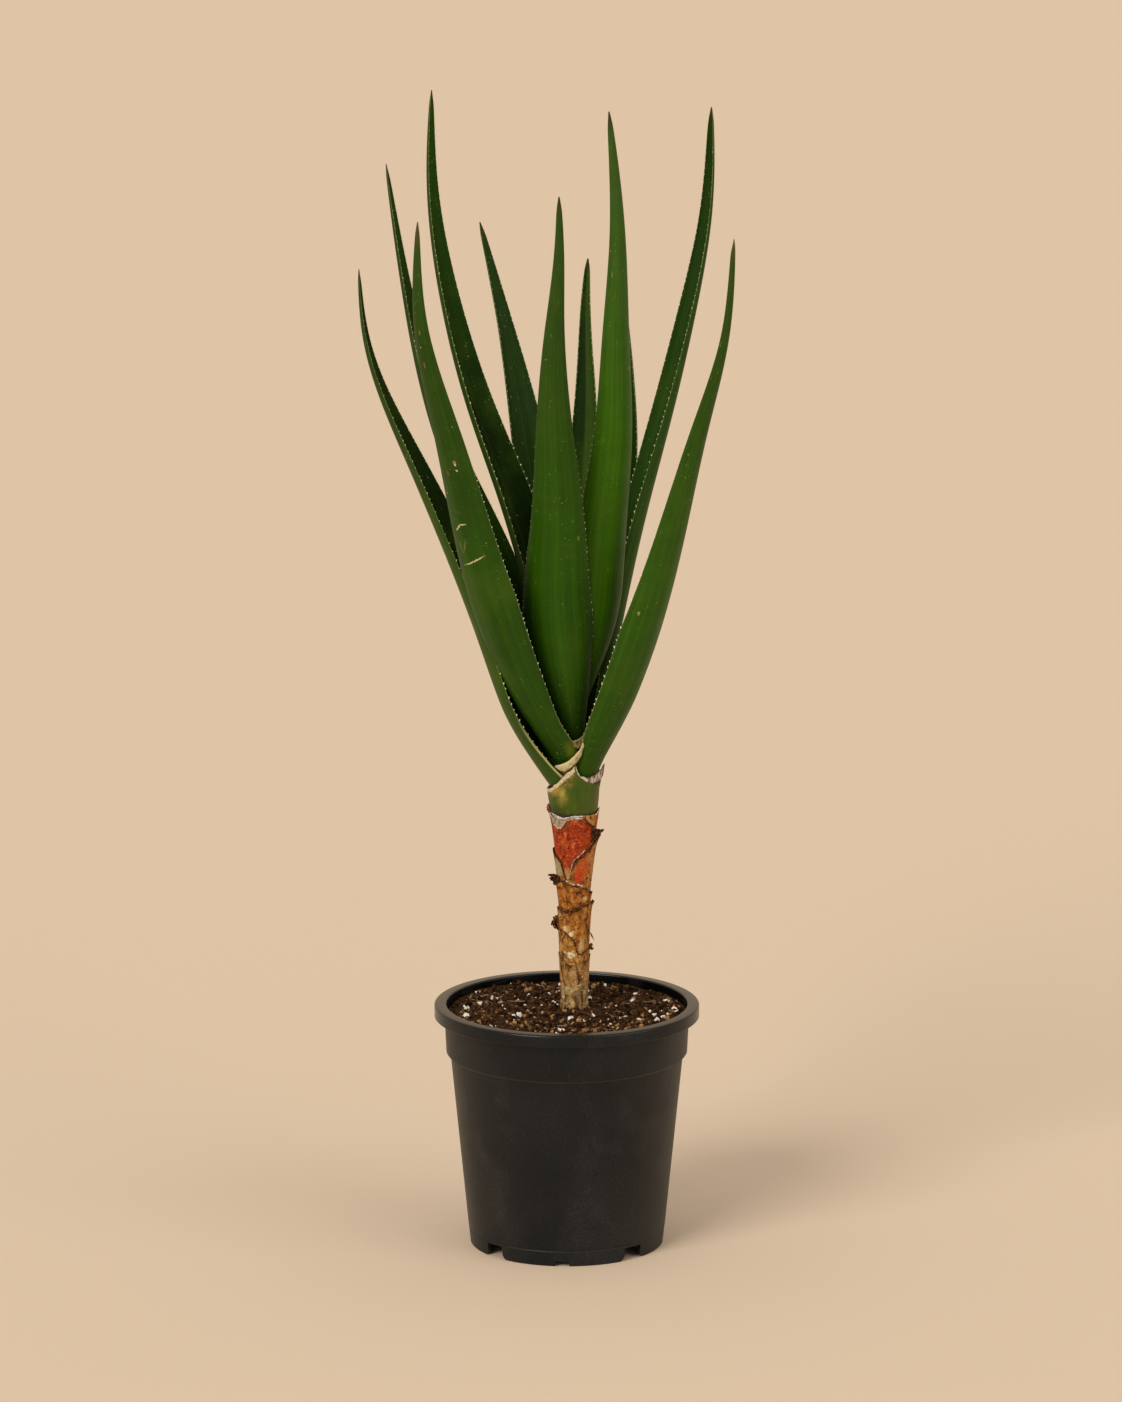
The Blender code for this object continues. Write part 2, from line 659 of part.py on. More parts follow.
def keep_largest(mesh):
    """Deletes every loose part of the mesh but the one with the most volume."""
    skin = bmesh.new()
    skin.from_mesh(mesh)
    islands, seen = [], set()
    for start in skin.faces:
        if start in seen:
            continue
        island, heap = [], [start]
        seen.add(start)
        while heap:
            face = heap.pop()
            island.append(face)
            for edge in face.edges:
                for other in edge.link_faces:
                    if other not in seen:
                        seen.add(other)
                        heap.append(other)
        islands.append(island)
    islands.sort(key=lambda faces: sum(face.calc_area() for face in faces), reverse=True)
    for island in islands[1:]:
        bmesh.ops.delete(skin, geom=island, context="FACES")
    loose = [vert for vert in skin.verts if not vert.link_faces]
    bmesh.ops.delete(skin, geom=loose, context="VERTS")
    bmesh.ops.dissolve_degenerate(skin, dist=2e-6, edges=skin.edges[:])
    skin.to_mesh(mesh)
    skin.free()


def make_room(outer, inner):
    """Where a leaf base presses on the one outside it, takes its shape, with the gap, from the outer one."""
    swollen = grown(inner, GAP)
    if not tree_of(outer.data).overlap(tree_of(swollen)):
        return
    cutter = bpy.data.objects.new("cutter", swollen)
    bpy.context.scene.collection.objects.link(cutter)
    modifier = outer.modifiers.new("room", "BOOLEAN")
    modifier.operation = "DIFFERENCE"
    modifier.solver = "MANIFOLD"  # the exact solver empties the mesh where thin leaf bases cross
    modifier.object = cutter
    bpy.context.view_layer.update()
    trimmed = bpy.data.meshes.new_from_object(outer.evaluated_get(bpy.context.evaluated_depsgraph_get()))
    outer.modifiers.remove(modifier)
    keep_largest(trimmed)
    outer.data = trimmed
    bpy.data.objects.remove(cutter)


def stand_all():
    """Parents every piece and cutter to an empty on the pot's axis."""
    stand = bpy.data.objects.new("stand", None)
    stand.location = Vector((*POT_AXIS, 0.0)) * MM
    for piece in list(bpy.context.scene.objects):
        piece.parent = stand
    bpy.context.scene.collection.objects.link(stand)


def main():
    """Models the pot, the mix, the stem with its dry scales, and the leaves from the lowest up."""
    clear_scene()
    add_pot()
    add_mix()
    add_stem()
    for scale in SCALES:
        add_scale(scale)
    clasping = [add_green_sheath(), add_papery_collar()]
    clasping += [add_leaf(leaf) for leaf in LEAVES]
    for i, outer in enumerate(clasping):
        for inner in clasping[i + 1 :]:
            make_room(outer, inner)
    stand_all()


main()
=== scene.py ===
"""A potted tree aloe: nursery pot, potting mix, stem with its dry leaf bases, and a crown of toothed leaves.

The classes hold their sizes in millimetres about the pot's axis. settle() carries a finished mesh to the
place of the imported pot, in metres. The front is -Y.
"""

import logging
import math
import random
from collections.abc import Callable, Iterator, Sequence
from contextlib import contextmanager
from dataclasses import dataclass
from enum import Enum

import bmesh
import bpy
import numpy as np
from mathutils import Matrix, Vector
from mathutils.bvhtree import BVHTree


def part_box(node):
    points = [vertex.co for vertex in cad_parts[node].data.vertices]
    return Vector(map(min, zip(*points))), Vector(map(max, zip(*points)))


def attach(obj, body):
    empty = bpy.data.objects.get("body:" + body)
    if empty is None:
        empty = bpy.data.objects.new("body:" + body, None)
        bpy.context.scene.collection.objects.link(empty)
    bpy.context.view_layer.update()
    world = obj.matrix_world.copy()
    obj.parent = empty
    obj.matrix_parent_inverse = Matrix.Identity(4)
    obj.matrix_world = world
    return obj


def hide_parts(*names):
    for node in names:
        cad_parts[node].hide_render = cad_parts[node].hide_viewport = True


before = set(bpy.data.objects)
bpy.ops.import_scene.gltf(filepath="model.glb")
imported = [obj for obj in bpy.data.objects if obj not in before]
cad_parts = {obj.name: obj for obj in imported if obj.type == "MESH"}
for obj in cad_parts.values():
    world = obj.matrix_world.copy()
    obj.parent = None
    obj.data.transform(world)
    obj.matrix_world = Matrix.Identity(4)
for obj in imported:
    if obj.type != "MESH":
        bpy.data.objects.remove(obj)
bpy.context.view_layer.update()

LOG = logging.getLogger("tree_aloe")
MM = 0.001
DOUBLES = 1e-5  # metres between points that are the same
TOUCHING = 1e-6
Thing = bpy.types.Object
Socket = bpy.types.NodeSocket
Material = bpy.types.Material
Colour = tuple[float, float, float]
Pair = tuple[float, float]
Triple = tuple[float, float, float]
STEM_AXIS: Pair = (6.8, 5.0)
ROLL_RADIUS = 16.0  # at which the stem's skin is laid flat for its marks
USUAL: Triple = (0.0, 0.9, 0.5)  # tilt, strength and soft edge of a mark on the stem
FLAT = 1e6  # scale on the axis that a mark leaves alone


def smooth(value: float) -> float:
    """0 below 0, 1 above 1, and an even ramp between them."""
    value = min(1.0, max(0.0, value))
    return value * value * (3 - 2 * value)


def between(pair: Sequence[float], share: float) -> float:
    """The value at this share of the way from the first number of a pair to the second."""
    return pair[0] + (pair[1] - pair[0]) * share


def leaning(azimuth: float, lean: float) -> Vector:
    """Unit vector that leans this many degrees from upright towards the azimuth."""
    turn, tilt = math.radians(azimuth), math.radians(lean)
    return Vector((math.cos(turn) * math.sin(tilt), math.sin(turn) * math.sin(tilt), math.cos(tilt)))


def ripple(azimuth: float, waves: Sequence[Triple]) -> float:
    """Sum of sine waves round the stem, each given as (count round the stem, height, phase in degrees)."""
    return sum(high * math.sin(math.radians(count * azimuth + phase)) for count, high, phase in waves)


def eased(marks: Sequence[Pair], azimuth: float) -> float:
    """Value at this azimuth, eased between the (azimuth, value) marks on either side of it.

    Args:
        marks: The marks, in order round the stem.
        azimuth: Degrees, 0 at +X and 90 at +Y.

    Returns:
        The value.
    """
    for i, (start, low) in enumerate(marks):
        end, high = marks[(i + 1) % len(marks)]
        width = (end - start) % 360
        along = (azimuth - start) % 360
        if along <= width:
            return between((low, high), smooth(along / width))
    return marks[0][1]


def on_stem(azimuth: float, radius: float, height: float) -> Vector:
    """The place at this azimuth, radius and height about the stem's axis, in millimetres."""
    turn = math.radians(azimuth)
    return Vector((STEM_AXIS[0] + radius * math.cos(turn), STEM_AXIS[1] + radius * math.sin(turn), height))


class Slot(Enum):
    """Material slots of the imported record."""

    POT = "pot"
    MIX = "potting_mix"
    STEM = "stem"
    SCALE = "dry_scale"
    COLLAR = "papery_collar"
    SHEATH = "green_sheath"
    LEAF = "leaf"


POT_AXIS = Vector([(low + high) / 2 for low, high in zip(*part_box("pot"))][:2] + [0.0])


def clear() -> None:
    """Deselects everything."""
    bpy.ops.object.select_all(action="DESELECT")


def only(*pieces: Thing) -> None:
    """Selects these objects alone and makes the first of them active."""
    clear()
    for piece in pieces:
        piece.select_set(True)
    bpy.context.view_layer.objects.active = pieces[0]


@contextmanager
def editing(piece: Thing) -> Iterator[None]:
    """Edit mode on this object alone, with all of it selected.

    Args:
        piece: The object to edit.
    """
    only(piece)
    bpy.ops.object.mode_set(mode="EDIT")
    bpy.ops.mesh.select_all(action="SELECT")
    yield
    bpy.ops.object.mode_set(mode="OBJECT")


def pick(piece: Thing, test: Callable[[Vector], bool]) -> None:
    """Selects, in edit mode, the vertices whose place passes the test, and what lies between them.

    Args:
        piece: The object in edit mode.
        test: Says of a place in the mesh whether it is wanted.
    """
    skin = bmesh.from_edit_mesh(piece.data)
    for part in (*skin.faces, *skin.edges, *skin.verts):
        part.select_set(False)
    for vert in skin.verts:
        if test(vert.co):
            vert.select_set(True)
    skin.select_flush(True)
    bmesh.update_edit_mesh(piece.data)


def extrude(move: Vector | Triple) -> None:
    """Extrudes, in edit mode, what is selected by this much in metres."""
    bpy.ops.mesh.extrude_region_move(TRANSFORM_OT_translate={"value": move})


def seal(piece: Thing) -> None:
    """Merges a piece's doubled points and turns its faces outwards."""
    with editing(piece):
        bpy.ops.mesh.remove_doubles(threshold=DOUBLES)
        bpy.ops.mesh.normals_make_consistent(inside=False)


def modify(piece: Thing, kind: str, **settings: object) -> None:
    """Adds a modifier with these settings and applies it.

    Args:
        piece: The object that gets the modifier.
        kind: The modifier's type.
        **settings: The modifier's properties by name.
    """
    modifier = piece.modifiers.new(kind.lower(), kind)
    for key, value in settings.items():
        setattr(modifier, key, value)
    only(piece)
    bpy.ops.object.modifier_apply(modifier=modifier.name)


def turned(name: str, rings: Sequence[Pair], segments: int, loop: bool = False) -> Thing:
    """A circle extruded from ring to ring about the upright axis.

    Args:
        name: Name of the new object.
        rings: Radius and height of each ring, in millimetres.
        segments: Corners of each ring.
        loop: Whether the last ring closes on the first; otherwise both ends are capped.

    Returns:
        The turned object.
    """
    clear()
    radius, height = rings[0]
    bpy.ops.mesh.primitive_circle_add(vertices=segments, radius=radius * MM)
    piece = bpy.context.active_object
    piece.name = piece.data.name = name
    with editing(piece):
        bpy.ops.transform.translate(value=(0, 0, height * MM))
        for wide, high in [*rings[1:], *(rings[:1] if loop else ())]:
            extrude((0, 0, (high - height) * MM))
            share = wide / radius
            bpy.ops.transform.resize(value=(share, share, 1), center_override=(0, 0, high * MM))
            radius, height = wide, high
        if not loop:
            bpy.ops.mesh.edge_face_add()
            pick(piece, lambda place: abs(place.z - rings[0][1] * MM) < TOUCHING)
            bpy.ops.mesh.edge_face_add()
        bpy.ops.mesh.select_all(action="SELECT")
        bpy.ops.mesh.remove_doubles(threshold=TOUCHING)
        bpy.ops.mesh.normals_make_consistent(inside=False)
    return piece


def sheet(name: str, columns: int, rows: int, lay: Callable[[float, float], Vector]) -> Thing:
    """A grid laid on a form, because no operator rolls and curls a sheet as this plant's skins do.

    Args:
        name: Name of the new object.
        columns: Faces across the sheet.
        rows: Faces along the sheet.
        lay: Gives the place, in millimetres, of the point at these shares across and along.

    Returns:
        The laid sheet, with the two shares as its UV map.
    """
    clear()
    bpy.ops.mesh.primitive_grid_add(x_subdivisions=columns, y_subdivisions=rows, size=1)
    piece = bpy.context.active_object
    piece.name = piece.data.name = name
    mesh = piece.data
    for vert in mesh.vertices:
        vert.co = lay(vert.co.x + 0.5, vert.co.y + 0.5) * MM
    return piece


def tag(piece: Thing, name: str, values: Sequence[float]) -> None:
    """Stores one number for each point of the mesh.

    Args:
        piece: The object.
        name: The attribute's name.
        values: A number for each vertex.
    """
    attribute = piece.data.attributes.new(name, "FLOAT", "POINT")
    attribute.data.foreach_set("value", np.array(values, np.float32))


def signed_volume(points: np.ndarray, loops: Sequence[tuple[int, ...]]) -> float:
    """Volume of a closed shape, below 0 where its faces point inwards.

    Args:
        points: Its points.
        loops: The points of each face, in order.

    Returns:
        The volume, in the points' own unit.
    """
    middle = points - points.mean(axis=0)
    fans = [(loop[0], loop[k], loop[k + 1]) for loop in loops for k in range(1, len(loop) - 1)]
    a, b, c = (middle[list(corner)] for corner in zip(*fans))
    return float((a * np.cross(b, c)).sum()) / 6


def strew(name: str, shapes: Sequence[Thing], places: Sequence[Matrix]) -> Thing:
    """One object made of many copies of a few small shapes, each copy tagged with its own shade.

    Args:
        name: Name of the new object.
        shapes: The shapes, used in turn.
        places: Where each copy goes, in metres.

    Returns:
        The new object, whose "shade" attribute runs from 0 to 1 from copy to copy.
    """
    forms, points, faces, shades, start = [], [], [], [], 0
    for shape in shapes:
        co = np.array([vert.co for vert in shape.data.vertices])
        loops = [tuple(face.vertices) for face in shape.data.polygons]
        forms.append((co, loops, signed_volume(co, loops)))
    picker = random.Random(name)
    for i, place in enumerate(places):
        co, loops, volume = forms[i % len(forms)]
        turn = np.array(place)
        points.append(co @ turn[:3, :3].T + turn[:3, 3])
        order = 1 if volume * place.determinant() > 0 else -1
        faces += [tuple(start + k for k in loop[::order]) for loop in loops]
        shades += [picker.random()] * len(co)
        start += len(co)
    mesh = bpy.data.meshes.new(name)
    mesh.from_pydata(np.concatenate(points).tolist(), [], faces)
    piece = bpy.data.objects.new(name, mesh)
    bpy.context.scene.collection.objects.link(piece)
    tag(piece, "shade", shades)
    return piece


def discard(*pieces: Thing) -> None:
    """Removes helper objects."""
    for piece in pieces:
        bpy.data.objects.remove(piece)


def join(main: Thing, *others: Thing) -> None:
    """Joins the others into the main object.

    Args:
        main: The object that stays.
        *others: The objects that go into it.
    """
    only(main, *others)
    bpy.ops.object.join()


def settle(piece: Thing, slot: Slot, *nodes: str, angle: float = 40.0) -> Thing:
    """Shades a finished piece, carries it to the pot's place, and tells the frame what it stands for.

    Args:
        piece: The finished piece, modelled about the pot's axis.
        slot: The record's material slot.
        *nodes: CAD nodes that the piece stands for.
        angle: Edges sharper than this many degrees stay sharp.

    Returns:
        The piece.
    """
    piece.data.transform(Matrix.Translation(POT_AXIS))
    only(piece)
    bpy.ops.object.shade_smooth_by_angle(angle=math.radians(angle))
    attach(piece, "root")
    if nodes:
        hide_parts(*nodes)
    stands_for = ", ".join(nodes) or "nothing"
    LOG.info("%s: %d faces, stands for %s", piece.name, len(piece.data.polygons), stands_for)
    return piece


@dataclass(frozen=True)
class Mark:
    """A coloured oval on a surface laid flat: middle and half size in millimetres, and turn in degrees."""

    centre: Pair
    size: Pair
    colour: Colour
    turn: float = 0.0
    strength: float = 0.9
    edge: float = 0.4


def stem_marks(*rows: tuple) -> tuple[Mark, ...]:
    """Marks on the stem.

    Args:
        *rows: For each mark the degrees to the right of the stem's front, the height and half size in
            millimetres and the colour, and then, where they aren't USUAL, its tilt, strength and soft edge.

    Returns:
        The marks.
    """
    marks = []
    for turn, height, size, colour, *rest in rows:
        rest += USUAL[len(rest) :]
        marks.append(Mark((math.radians(turn) * ROLL_RADIUS, height), size, colour, *rest))
    return tuple(marks)


class Recipe:
    """A node material under construction, with its Principled shader."""

    def __init__(self, name: str, roughness: float = 0.6, specular: float = 0.3) -> None:
        """Starts the material.

        Args:
            name: The material's name.
            roughness: The shader's roughness, where nothing is linked to it.
            specular: The shader's specular level.
        """
        self.material = bpy.data.materials.new(name)
        self.material.use_nodes = True
        self.tree = self.material.node_tree
        self.shader = self.tree.nodes["Principled BSDF"]
        self.shader.inputs["Roughness"].default_value = roughness
        self.shader.inputs["Specular IOR Level"].default_value = specular

    def add(self, kind: str, sockets: dict | None = None, **settings: object) -> bpy.types.Node:
        """Adds a node.

        Args:
            kind: The node's type, without "ShaderNode".
            sockets: Values or links for its inputs, by name or index.
            **settings: The node's properties by name.

        Returns:
            The node.
        """
        node = self.tree.nodes.new("ShaderNode" + kind)
        for key, value in settings.items():
            setattr(node, key, value)
        for key, value in (sockets or {}).items():
            if isinstance(value, Socket):
                self.tree.links.new(value, node.inputs[key])
            elif isinstance(value, tuple) and len(value) == 3 and node.inputs[key].type == "RGBA":
                node.inputs[key].default_value = (*value, 1.0)
            else:
                node.inputs[key].default_value = value
        return node

    def at(self, scale: Triple = (1, 1, 1), shift: Triple = (0, 0, 0), uv: bool = False) -> Socket:
        """Object coordinates about the pot's axis in metres, or the UV map, scaled.

        Args:
            scale: Scale on each axis.
            shift: What is taken away before the scale, beside the pot's axis.
            uv: Whether to read the UV map.

        Returns:
            The scaled coordinates.
        """
        source = self.add("TexCoord").outputs["UV" if uv else "Object"]
        origin = Vector(shift) if uv else Vector(shift) + POT_AXIS
        moved = self.add("Mapping", {"Vector": source, "Location": -origin})
        return self.add("Mapping", {"Vector": moved.outputs[0], "Scale": scale}).outputs[0]

    def noise(self, scale: float, detail: float = 3, warp: float = 0, at: Socket | None = None) -> Socket:
        """Soft random field from 0 to 1, on these coordinates or on the plain object coordinates."""
        sockets = {"Vector": at or self.at(), "Scale": scale, "Detail": detail, "Distortion": warp}
        return self.add("TexNoise", sockets).outputs["Fac"]

    def cells(self, at: Socket, scale: float, feature: str = "F1") -> Socket:
        """Distance to the nearest of many scattered points, or to the edge between two."""
        return self.add("TexVoronoi", {"Vector": at, "Scale": scale}, feature=feature).outputs["Distance"]

    def ramp(self, fac: Socket, *stops: tuple[float, Colour | float]) -> Socket:
        """Colours, or greys, that follow a value.

        Args:
            fac: The value.
            *stops: (position, colour or grey) pairs in order.

        Returns:
            The colour.
        """
        node = self.add("ValToRGB", {"Fac": fac})
        band = node.color_ramp
        while len(band.elements) < len(stops):
            band.elements.new(1.0)
        for element, (position, shade) in zip(band.elements, stops):
            element.position = position
            element.color = (*shade, 1.0) if isinstance(shade, tuple) else (shade, shade, shade, 1.0)
        return node.outputs["Color"]

    def mix(self, fac: object, low: object, high: object, blend: str = "MIX") -> Socket:
        """One colour laid over another.

        Args:
            fac: How much of the second shows.
            low: The first colour.
            high: The second colour.
            blend: How they are mixed.

        Returns:
            The mixed colour.
        """
        node = self.add("Mix", data_type="RGBA", blend_type=blend)
        for index, value in ((0, fac), (6, low), (7, high)):
            if isinstance(value, Socket):
                self.tree.links.new(value, node.inputs[index])
            else:
                node.inputs[index].default_value = (*value, 1.0) if isinstance(value, tuple) else value
        return node.outputs[2]

    def times(self, first: object, second: object) -> Socket:
        """The product of two colours."""
        return self.mix(1.0, first, second, "MULTIPLY")

    def shaded(self, colour: object, value: Socket, *stops: tuple[float, Colour | float]) -> Socket:
        """A colour times a ramp that follows a value."""
        return self.times(colour, self.ramp(value, *stops))

    def laid(self, below: object, above: object, value: Socket, *stops: tuple[float, float]) -> Socket:
        """A colour laid over another as far as a ramp that follows a value says."""
        return self.mix(self.ramp(value, *stops), below, above)

    def sum(self, operation: str, *values: object) -> Socket:
        """A Math node's result."""
        return self.add("Math", dict(enumerate(values)), operation=operation).outputs[0]

    def parts(self, at: Socket) -> Sequence[Socket]:
        """The three coordinates one by one."""
        return self.add("SeparateXYZ", {"Vector": at}).outputs

    def tagged(self, name: str) -> Socket:
        """The number that tag() stored."""
        return self.add("Attribute", attribute_name=name).outputs["Fac"]

    def shifted(self, at: Socket, scale: float, amount: float) -> Socket:
        """The coordinates moved about by soft noise, so that what is drawn on them gets a ragged outline.

        Args:
            at: The coordinates.
            scale: Scale of the noise.
            amount: How far they are moved at most.

        Returns:
            The moved coordinates.
        """
        cloud = self.add("TexNoise", {"Vector": at, "Scale": scale, "Detail": 4.0}).outputs["Color"]
        even = self.add("VectorMath", {0: cloud, 1: (0.5, 0.5, 0.5)}, operation="SUBTRACT").outputs[0]
        far = self.add("VectorMath", {0: even, "Scale": 2 * amount}, operation="SCALE").outputs[0]
        return self.add("VectorMath", {0: at, 1: far}, operation="ADD").outputs[0]

    def unrolled(self) -> Socket:
        """The stem's skin laid flat: millimetres to the right of its front, and height in millimetres."""
        x, y, z = self.parts(self.at(shift=(STEM_AXIS[0] * MM, STEM_AXIS[1] * MM, 0)))
        turn = self.sum("ARCTAN2", x, self.sum("MULTIPLY", y, -1.0))
        right = self.sum("MULTIPLY", turn, ROLL_RADIUS)
        flat = self.add("CombineXYZ", {0: right, 1: self.sum("MULTIPLY", z, 1 / MM)})
        return flat.outputs[0]

    def spot(self, at: Socket, mark: Mark) -> Socket:
        """A soft-edged oval.

        Args:
            at: Flat coordinates in millimetres.
            mark: The oval, whose edge is the share of its radius over which it fades.

        Returns:
            The mark's strength inside the oval and 0 outside.
        """
        turn = (0, 0, math.radians(mark.turn))
        sockets = {"Vector": at, "Location": (*mark.centre, 0), "Rotation": turn, "Scale": (*mark.size, FLAT)}
        own = self.add("Mapping", sockets, vector_type="TEXTURE")
        away = self.add("VectorMath", {0: own.outputs[0]}, operation="LENGTH").outputs["Value"]
        return self.sum("MULTIPLY", self.ramp(away, (1 - mark.edge, 1.0), (1.0, 0.0)), mark.strength)

    def marked(self, body: Socket, at: Socket, marks: Sequence[Mark]) -> Socket:
        """Lays marks over a colour.

        Args:
            body: The colour beneath.
            at: Flat coordinates in millimetres.
            marks: The marks.

        Returns:
            The colour with its marks.
        """
        for mark in marks:
            body = self.mix(self.spot(at, mark), body, mark.colour)
        return body

    def finish(
        self, colour: Socket, bump: Socket | None = None, depth: float = 0.3, roughness: Socket | None = None
    ) -> Material:
        """Links what has been mixed to the shader.

        Args:
            colour: The base colour.
            bump: Height of the surface's relief, from 0 to 1.
            depth: Millimetres of relief where the height goes from 0 to 1.
            roughness: Roughness that varies over the surface.

        Returns:
            The finished material.
        """
        self.tree.links.new(colour, self.shader.inputs["Base Color"])
        if bump is not None:
            node = self.add("Bump", {"Height": bump, "Strength": 1.0, "Distance": depth * MM})
            self.tree.links.new(node.outputs[0], self.shader.inputs["Normal"])
        if roughness is not None:
            self.tree.links.new(roughness, self.shader.inputs["Roughness"])
        return self.material


@dataclass(frozen=True)
class LeafSkin:
    """Waxy leaf skin with veins, pale flecks, a pale foot and a brown point. Flat sizes in millimetres."""

    green: Colour = (0.021, 0.068, 0.0008)
    top: Colour = (0.030, 0.078, 0.003)
    foot: Colour = (0.022, 0.056, 0.0008)
    # Colour of the half beyond the midrib: painted light and shade, with one half of the channel lit and the
    # other in shade.
    far_half_light: Colour | None = None
    cream: Colour = (0.44, 0.38, 0.17)
    point: Colour = (0.040, 0.028, 0.008)
    tired: Colour = (0.055, 0.100, 0.005)
    point_share: float = 0.994
    foot_share: float = 0.085
    clasp: Pair = (0.0, 0.05)
    clasp_from: float = 0.474
    flecks: float = 0.5
    gloss: float = 0.11
    pale_margin: float = 0.5
    flat: Pair = (62.0, 560.0)
    marks: tuple[Mark, ...] = ()

    def material(self, name: str) -> Material:
        """Builds the skin's material.

        Args:
            name: The material's name.

        Returns:
            The material, which reads shares across and along from the UV map.
        """
        recipe = Recipe(name, specular=self.gloss)
        across, along, _ = recipe.parts(recipe.at(uv=True))
        greens = ((0.0, self.foot), (self.foot_share, self.green), (0.5, self.green), (0.88, self.top))
        body = recipe.ramp(along, *greens)
        if self.far_half_light:
            body = recipe.laid(body, self.far_half_light, across, (0.47, 0.0), (0.53, 1.0))
        veins = recipe.noise(1.0, 4, at=recipe.at((16, 1.0, 1), uv=True))
        fine = recipe.noise(1.0, 2, at=recipe.at((110, 5, 1), uv=True))
        growth = recipe.noise(1.0, 3, at=recipe.at((2.0, 26, 1), uv=True))
        cloud = recipe.noise(22, 3)
        body = recipe.shaded(body, veins, (0.3, 0.80), (0.7, 1.18))
        body = recipe.shaded(body, fine, (0.35, 0.90), (0.65, 1.10))
        body = recipe.shaded(body, growth, (0.35, 0.93), (0.65, 1.06))
        body = recipe.laid(body, self.tired, cloud, (0.5, 0.0), (0.8, 0.45))
        middle = recipe.sum("ABSOLUTE", recipe.sum("SUBTRACT", across, 0.5))
        body = recipe.laid(body, self.tired, middle, (0.0, 0.16), (0.03, 0.0))
        # Painted light and shade along the leaf: a little lighter below the middle, darker towards the tip.
        tone = recipe.ramp(along, (0.15, 1.0), (0.38, 1.15), (0.5, 1.05), (0.62, 0.9), (0.8, 0.74))
        body = recipe.times(body, tone)
        body = recipe.laid(body, (0.13, 0.19, 0.03), middle, (0.484, 0.0), (0.5, self.pale_margin))
        margin = recipe.ramp(middle, (self.clasp_from, 0.0), (self.clasp_from + 0.02, 1.0))
        base = recipe.shaded(margin, along, (self.clasp[0], 1.0), (self.clasp[1], 0.0))
        body = recipe.mix(base, body, self.cream)
        rare = recipe.ramp(recipe.noise(75, 2), (0.52, 0.0), (0.62, self.flecks))
        for size, reach in ((150, 0.15), (310, 0.2)):
            near = recipe.cells(recipe.at(shift=(0.01 * reach, 0, 0)), size)
            dots = recipe.times(recipe.ramp(near, (0.5 * reach, 1.0), (reach, 0.0)), rare)
            body = recipe.mix(dots, body, (0.25, 0.30, 0.09))
        flat = recipe.shifted(recipe.at((*self.flat, 1), uv=True), 0.5, 1.6)
        body = recipe.marked(body, flat, self.marks)
        ends = recipe.sum("ADD", along, recipe.sum("MULTIPLY", recipe.sum("SUBTRACT", veins, 0.5), 0.012))
        dry = recipe.ramp(ends, (self.point_share - 0.03, 0.0), (self.point_share, 1.0))
        body = recipe.mix(dry, body, self.point)
        rough = recipe.ramp(cloud, (0.3, 0.40), (0.7, 0.54))
        return recipe.finish(body, recipe.mix(0.5, veins, fine), 0.35, rough)


@dataclass(frozen=True)
class Horn:
    """Pale horny tissue of the leaf margins and their teeth."""

    name: str
    colour: Colour
    dark: Colour

    def material(self) -> Material:
        """Builds the material."""
        recipe = Recipe(self.name, 0.5)
        cloud = recipe.noise(140, 2)
        return recipe.finish(recipe.ramp(cloud, (0.35, self.dark), (0.6, self.colour)), cloud, 0.15)


@dataclass(frozen=True)
class BlackPlastic:
    """Matt black moulded plastic, scuffed and dusty, with a lighter line along the ledge and a glossier lip
    at set heights.
    """

    name: str = "black_plastic"
    black: Colour = (0.0030, 0.0046, 0.0054)
    dust: Colour = (0.022, 0.022, 0.021)
    specular: float = 0.26
    ledge: float = 0.1762
    lip: Pair = (0.2106, 0.2120)
    lip_rough: float = 0.24

    def material(self) -> Material:
        """Builds the material."""
        recipe = Recipe(self.name, specular=self.specular)
        cloud = recipe.noise(14, 4, 0.3)
        scuff = recipe.noise(1.0, 6, 0.5, at=recipe.at((26, 26, 17)))
        grain = recipe.noise(620, 3)
        height = recipe.parts(recipe.at())[2]
        low = recipe.ramp(height, (0.0, 0.8), (0.09, 0.25), (0.2, 0.35))
        veil = recipe.times(recipe.ramp(cloud, (0.42, 0.0), (0.72, 1.0)), low)
        body = recipe.mix(veil, self.black, self.dust)
        body = recipe.laid(body, (0.050, 0.052, 0.054), scuff, (0.54, 0.0), (0.76, 0.20))
        body = recipe.shaded(body, grain, (0.35, 0.55), (0.65, 1.45))
        scratch = recipe.noise(1.0, 4, 1.2, at=recipe.at((260, 260, 35)))
        body = recipe.laid(body, (0.06, 0.06, 0.058), scratch, (0.66, 0.0), (0.76, 0.22))
        # A patchy lighter grey line along the ledge.
        above = recipe.sum("ABSOLUTE", recipe.sum("SUBTRACT", height, self.ledge))
        near = recipe.ramp(recipe.sum("MULTIPLY", above, 1 / MM), (0.5, 1.0), (1.0, 0.0))
        ledge_line = recipe.shaded(near, cloud, (0.3, 0.3), (0.6, 0.9))
        body = recipe.mix(ledge_line, body, (0.044, 0.041, 0.036))
        rough = recipe.ramp(cloud, (0.3, 0.40), (0.7, 0.52))
        lip = ((self.lip[0], 0.0), (self.lip[1], 1.0))
        rough = recipe.laid(rough, (self.lip_rough,) * 3, height, *lip)
        return recipe.finish(body, grain, 0.06, rough)


